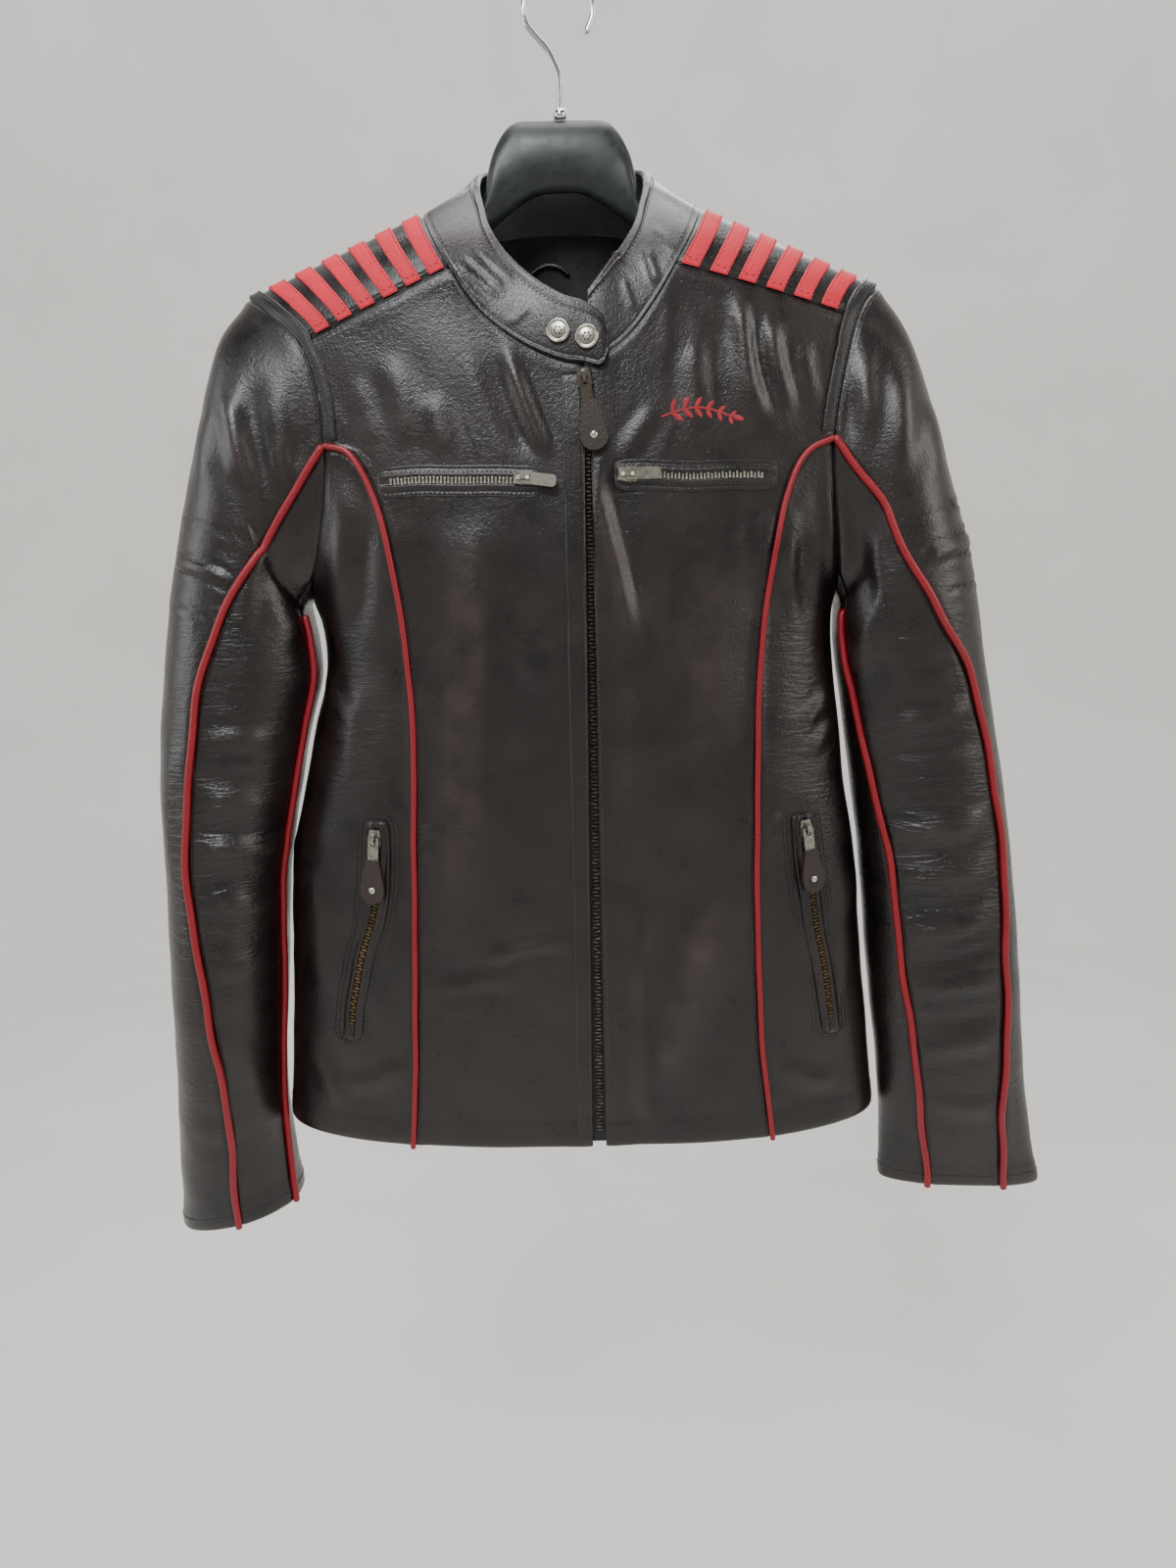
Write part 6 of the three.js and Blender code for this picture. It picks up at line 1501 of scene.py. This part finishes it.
def hanger():
    rows = np.stack([HANGER[k] for k in ("x", "top", "low", "half")], -1)
    rows = np.concatenate([rows[:0:-1] * [-1, 1, 1, 1], rows])
    fine = through(rows[:, :3], np.linspace(0, len(rows) - 1, 150))
    half = through(np.c_[rows[:, 3], rows[:, 3] * 0, rows[:, 3] * 0], np.linspace(0, len(rows) - 1, 150))
    angle = np.linspace(0, 2 * np.pi, 40, endpoint=False)
    middle, tall = (fine[:, 1] + fine[:, 2]) / 2, (fine[:, 1] - fine[:, 2]) / 2
    shrink = 0.985
    v = np.stack([np.repeat(fine[:, :1], 40, 1), half[:, :1] * shrink * np.sin(angle)[None],
                  middle[:, None] + tall[:, None] * shrink * np.cos(angle)[None]], -1).reshape(-1, 3)
    faces = []
    for i in range(149):
        for k in range(40):
            a, b = i * 40 + k, i * 40 + (k + 1) % 40
            faces.append([a, b, b + 40, a + 40])
    faces.append(list(range(40))[::-1])
    faces.append([149 * 40 + k for k in range(40)])
    add(make("hanger_bar", v, faces, [HANGER_MAT]), ["hanger_body"])
    centre = HOOK_WIRE / 2 - HOOK_RADIUS
    arc = np.radians(195 + (-35 - 195) * np.arange(9) / 8)
    route = np.array([(x, 0, z) for x, z in HOOK_STEM]
                     + [(HOOK_RADIUS * math.cos(a), 0, centre + HOOK_RADIUS * math.sin(a)) for a in arc])
    line = through(route, np.linspace(0, len(route) - 1, 160))
    normals = np.tile([0.0, -1.0, 0.0], (160, 1))
    add(cord("hook_wire", line, normals, HOOK_WIRE / 2, [CHROME_MAT], 20), ["hanger_hook"])
    turns = np.linspace(0, 2 * np.pi, 32, endpoint=False)
    profile = [(0.1, 0), (4.2, 0), (4.2, 3.6), (3.9, 4.2), (3.1, 6.2), (2.0, 6.6)]
    ring = [[(r * math.cos(a), r * math.sin(a), -83.7 + h) for a in turns] for r, h in profile]
    faces = [[i * 32 + k, i * 32 + (k + 1) % 32, (i + 1) * 32 + (k + 1) % 32, (i + 1) * 32 + k]
             for i in range(len(profile) - 1) for k in range(32)]
    faces.append(list(range(32))[::-1])
    faces.append([(len(profile) - 1) * 32 + k for k in range(32)])
    add(make("hook_ferrule", np.array(ring).reshape(-1, 3), faces, [CHROME_MAT]))


# ---------------------------------------------------------------- hardware


def disc(centre, out, profile, sides):
    """Vertices and faces of a lathed disc on an axis: profile rows are (radius, height along out)."""
    out = unit(np.asarray(out, float))
    a = unit(np.cross(out, [0.0, 0.0, 1.0]))
    b = np.cross(out, a)
    turn = np.linspace(0, 2 * np.pi, sides, endpoint=False)
    ring = np.cos(turn)[:, None] * a + np.sin(turn)[:, None] * b
    v = np.concatenate([np.asarray(centre) + ring * r + out * h for r, h in profile])
    return v, tube_faces(len(profile), sides)


SNAP_PROFILE = [(6.9, 0.1), (7.35, 0.6), (7.4, 1.3), (7.1, 1.9), (6.5, 2.2), (6.0, 1.95), (5.6, 1.65),
                (5.0, 1.7), (4.2, 1.9), (3.0, 2.1), (1.5, 2.2), (0.05, 2.22)]
BEAD_PROFILE = [(0.42, 0.0), (0.36, 0.22), (0.2, 0.36), (0.03, 0.4)]
RIVET_PROFILE = [(2.3, 0.0), (2.3, 0.35), (2.0, 0.75), (1.2, 1.0), (0.04, 1.08)]


def snap(k):
    """A domed cap with a raised rim and a plain relief: a ring of beads round a small rosette."""
    name = f"collar_snap_{k}"
    low, high = (np.array(corner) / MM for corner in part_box(name))
    middle = (low + high) / 2
    moved, n = PANELS["collar"]
    beside = np.linalg.norm(moved - middle, axis=-1)
    i, j = np.unravel_index(beside.argmin(), beside.shape)
    out = n[i, j]
    foot = moved[i, j] + out * 0.1
    foot = middle - out * ((middle - foot) @ out)
    v, faces = disc(foot, out, SNAP_PROFILE, 40)
    add(make(f"snap_cap_{k}", v, faces, [NICKEL_MAT]), [name])
    a = unit(np.cross(out, [0.0, 0.0, 1.0]))
    b = np.cross(out, a)
    beads = []
    for count, radius, high, size in ((18, 4.7, 1.72, 1.0), (6, 2.2, 2.12, 1.7)):
        for m in range(count):
            turn = 2 * math.pi * m / count
            centre = foot + (a * math.cos(turn) + b * math.sin(turn)) * radius + out * high
            beads.append(disc(centre, out, [(r * size, h * size) for r, h in BEAD_PROFILE], 10))
    add(make(f"snap_relief_{k}", *joined(beads), [DARK_METAL_MAT]))


def rivet(tab, body):
    """A small domed rivet on a leather pull tab, on its outward face."""
    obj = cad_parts[tab]
    points = np.array([v.co for v in obj.data.vertices]) / MM
    middle = points.mean(0)
    _, _, axes = np.linalg.svd(points - middle)
    out = axes[2] * (-1 if axes[2][1] > 0 else 1)
    along = axes[0] * (-1 if axes[0][2] > 0 else 1)
    reach = (points - middle) @ along
    height = ((points - middle) @ out).max()
    centre = middle + along * (reach.max() - 9.5) + out * (height - 0.15)
    v, faces = disc(centre, out, RIVET_PROFILE, 24)
    add(make(f"{tab}_rivet", v, faces, [TEETH_MAT]), body=body)


def finish_frame_parts():
    """The sliders, pulls and tabs keep their solids and take their finishes."""
    finishes = {"slider": NICKEL_MAT, "pull": NICKEL_MAT, "tab": TAB_MAT}
    for name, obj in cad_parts.items():
        for word, mat in finishes.items():
            if word in name.split("_"):
                if mat is NICKEL_MAT and name.startswith("front"):
                    mat = DARK_METAL_MAT
                obj.data.materials.clear()
                obj.data.materials.append(mat)
    rivet("front_tab", "front_zip_pull")
    for side in SIDES:
        rivet(f"hand_tab_{side}", f"hand_zip_pull_{side}")
    for k in (1, 2):
        snap(k)


# ---------------------------------------------------------------- embroidered motif


def on_front(x, z):
    """The left front's shell at places (x, z), with its normals there."""
    moved, n = PANELS["front_center_left"]
    flat, nor = moved.reshape(-1, 3), n.reshape(-1, 3)
    closest = ((flat[None, :, 0] - x[:, None]) ** 2 + (flat[None, :, 2] - z[:, None]) ** 2).argmin(1)
    base, out = flat[closest], nor[closest]
    y = base[:, 1] - ((x - base[:, 0]) * out[:, 0] + (z - base[:, 2]) * out[:, 2]) / out[:, 1]
    return np.stack([x, y, z], -1), out


def satin(middle, angle, length, width, power):
    """Threads laid side by side across a leaf or bar: pairs of ends in (x, z)."""
    count = int(length / 0.42)
    t = (np.arange(count) + 0.5) / count * 2 - 1
    half = width / 2 * (1 - np.abs(t) ** power) ** (1 / power)
    half = np.maximum(half, 0.35)
    ahead = np.array([math.cos(angle), math.sin(angle)])
    across = np.array([-ahead[1], ahead[0]])
    slant = ahead * 0.35
    line = np.array(middle) + ahead * (t * length / 2)[:, None]
    return line - (across + slant) * half[:, None], line + (across + slant) * half[:, None]


def motif():
    """A plain sewn ornament in red thread: one arched sprig with paired leaves."""
    t = np.linspace(0, 1, 7)
    stem_x, stem_z = 60 + 44 * t, -275 + 5.5 * np.sin(math.pi * t)
    slope = np.arctan2(np.gradient(stem_z), np.gradient(stem_x))
    shapes = []
    for k in range(6):
        middle = ((stem_x[k] + stem_x[k + 1]) / 2, (stem_z[k] + stem_z[k + 1]) / 2)
        shapes.append(satin(middle, (slope[k] + slope[k + 1]) / 2, 7.9, 1.3, 8.0))
    for k in range(1, 7):
        long = 9.6 - 0.75 * k
        for turn in (slope[k] + 0.95, slope[k] - 0.95):
            middle = (stem_x[k] + math.cos(turn) * long / 2 - 1.0, stem_z[k] + math.sin(turn) * long / 2)
            shapes.append(satin(middle, turn, long, 3.9 - 0.2 * k, 1.5))
    shapes.append(satin((stem_x[-1] + 4.2, stem_z[-1] - 0.9), slope[-1], 8.0, 3.6, 1.5))
    lines = []
    for start, end in shapes:
        p, n = on_front(start[:, 0], start[:, 1])
        q, m = on_front(end[:, 0], end[:, 1])
        for k in range(len(p)):
            middle = (p[k] + q[k]) / 2 + unit(n[k] + m[k]) * 0.3
            lines.append((np.array([p[k], middle, q[k]]), np.array([n[k], unit(n[k] + m[k]), m[k]])))
    verts = [stitches_of(line, normals) for line, normals in lines]
    faces, base = [], 0
    for _, f in verts:
        faces += [[i + base for i in face] for face in f]
        base += 15
    add(make("chest_motif", np.concatenate([v for v, _ in verts]), faces, [RED_THREAD_MAT]))


def stitches_of(line, normals, radius=0.3, sides=5):
    """One thread through three points, as a small closed tube."""
    turn = np.arange(sides) * 2 * np.pi / sides
    direction = unit(line[2] - line[0])
    v = []
    for q, n, r in zip(line, normals, (0.5, 1.0, 0.5)):
        across = unit(np.cross(direction, n))
        v.append(q + (across * np.cos(turn)[:, None] + n * np.sin(turn)[:, None]) * radius * r)
    faces = [[i * sides + j, i * sides + (j + 1) % sides, (i + 1) * sides + (j + 1) % sides,
              (i + 1) * sides + j] for i in range(2) for j in range(sides)]
    faces.append(list(range(sides))[::-1])
    faces.append([2 * sides + j for j in range(sides)])
    return np.concatenate(v), faces


# ---------------------------------------------------------------- the whole

strip_lines = []
for side in SIDES:
    front_center(side)
    front_side(side)
    shoulder_panel(side)
    for panel in ("outer", "front", "under"):
        sleeve_panel(side, panel)
    front_piping(side)
    sleeve_piping(side, "outer")
    sleeve_piping(side, "inner")
    red_lines = []
    for k in range(STRIPES):
        red_lines += stripe(side, k)
    add(stitches(f"stripe_stitches_{side}", red_lines, RED_THREAD_MAT, 3.2, 2.2, 0.28))
    strip_lines += armhole_band(side)
    strip_lines += chest_zip(side)
    strip_lines += hand_zip(side)
back_panel()
strip_lines += placket()
front_zip()
strip_lines += collar()
neck_facing()
hanger()
add(stitches("panel_stitches", panel_stitches(), THREAD_MAT))
add(stitches("strip_stitches", strip_lines, THREAD_MAT, 3.0, 2.1, 0.28))
add(stitches("rib_stitches", rib_stitches(), THREAD_MAT, 3.0, 2.2, 0.3))
finish_frame_parts()
motif()

# ---------------------------------------------------------------- studio


def studio():
    """A pale round floor that curves up into a low pale wall, wide enough to stand clear of every view."""
    floor_z, wall_z, radius, bend, sides = -1350.0, 3200.0, 3300.0, 900.0, 96
    turns = np.linspace(0, math.pi / 2, 14)
    profile = [(1.0, floor_z)] + [(radius - bend + bend * math.sin(a), floor_z + bend - bend * math.cos(a))
                                  for a in turns] + [(radius, wall_z)]
    around = np.linspace(0, 2 * np.pi, sides, endpoint=False)
    verts = [(r * math.cos(t), r * math.sin(t), z) for r, z in profile for t in around]
    faces = [[i * sides + k, i * sides + (k + 1) % sides, (i + 1) * sides + (k + 1) % sides,
              (i + 1) * sides + k] for i in range(len(profile) - 1) for k in range(sides)]
    n = Nodes("studio_paper")
    tone = n.remap(n.noise(3, 3, 0.5), 0.3, 0.7)
    mat = n.finish(base_color=n.mix(tone, linear((214, 212, 208)), linear((222, 220, 216))), roughness=0.9,
                   normal=n.bump(n.noise(900, 2), 0.0002, 0.3))
    backdrop = make("backdrop", verts, faces, [mat])


def area_light(name, place, aim, size, watts, color):
    data = bpy.data.lights.new(name, "AREA")
    data.shape, data.size, data.size_y = "RECTANGLE", size[0], size[1]
    data.energy, data.color = watts, color
    obj = bpy.data.objects.new(name, data)
    obj.location = place
    obj.rotation_euler = (Vector(aim) - Vector(place)).to_track_quat("-Z", "Y").to_euler()
    obj.visible_camera = False
    bpy.context.scene.collection.objects.link(obj)


def camera():
    """The photograph's viewing angle: a near, slightly high camera on a wide lens."""
    pitch, roll = math.radians(10.3), 0.01844
    level = math.sqrt(1 - roll * roll)
    ahead = Vector((0, math.cos(pitch), -math.sin(pitch)))
    up_level = Vector((0, math.sin(pitch), math.cos(pitch)))
    across_level = Vector((1, 0, 0))
    right = across_level * level - up_level * roll
    up = up_level * level + across_level * roll
    data = bpy.data.cameras.new("photo_camera")
    data.sensor_width, data.sensor_fit, data.lens = 36, "AUTO", 27.05
    obj = bpy.data.objects.new("photo_camera", data)
    turn = Matrix((right, up, -ahead)).transposed().to_4x4()
    obj.matrix_world = Matrix.Translation(Vector((0.010, -0.820, -0.368))) @ turn
    bpy.context.scene.collection.objects.link(obj)
    bpy.context.scene.camera = obj


studio()
camera()
MIDDLE = (0.02, 0.0, -0.45)
area_light("key", (-0.5, -1.7, 1.1), MIDDLE, (0.9, 0.7), 40, (0.94, 0.97, 1.0))
area_light("side", (-1.9, -0.5, 0.2), MIDDLE, (0.8, 1.5), 15, (0.92, 0.96, 1.0))
area_light("fill", (1.8, -0.8, 0.3), MIDDLE, (0.8, 1.4), 15, (1.0, 0.96, 0.9))
area_light("top", (0.1, -0.1, 1.3), MIDDLE, (1.2, 0.7), 18, (1.0, 0.98, 0.95))
area_light("wall_wash", (0.0, 0.9, 2.4), (0.0, 3.3, -0.3), (3.0, 0.8), 68, (1.0, 1.0, 1.0))
area_light("rear", (0.3, 1.9, 1.2), MIDDLE, (1.6, 1.0), 22, (0.96, 0.98, 1.0))
world = bpy.data.worlds.new("studio_world")
world.use_nodes = True
world.node_tree.nodes["Background"].inputs["Color"].default_value = (0.8, 0.83, 0.88, 1)
world.node_tree.nodes["Background"].inputs["Strength"].default_value = 0.1
bpy.context.scene.world = world
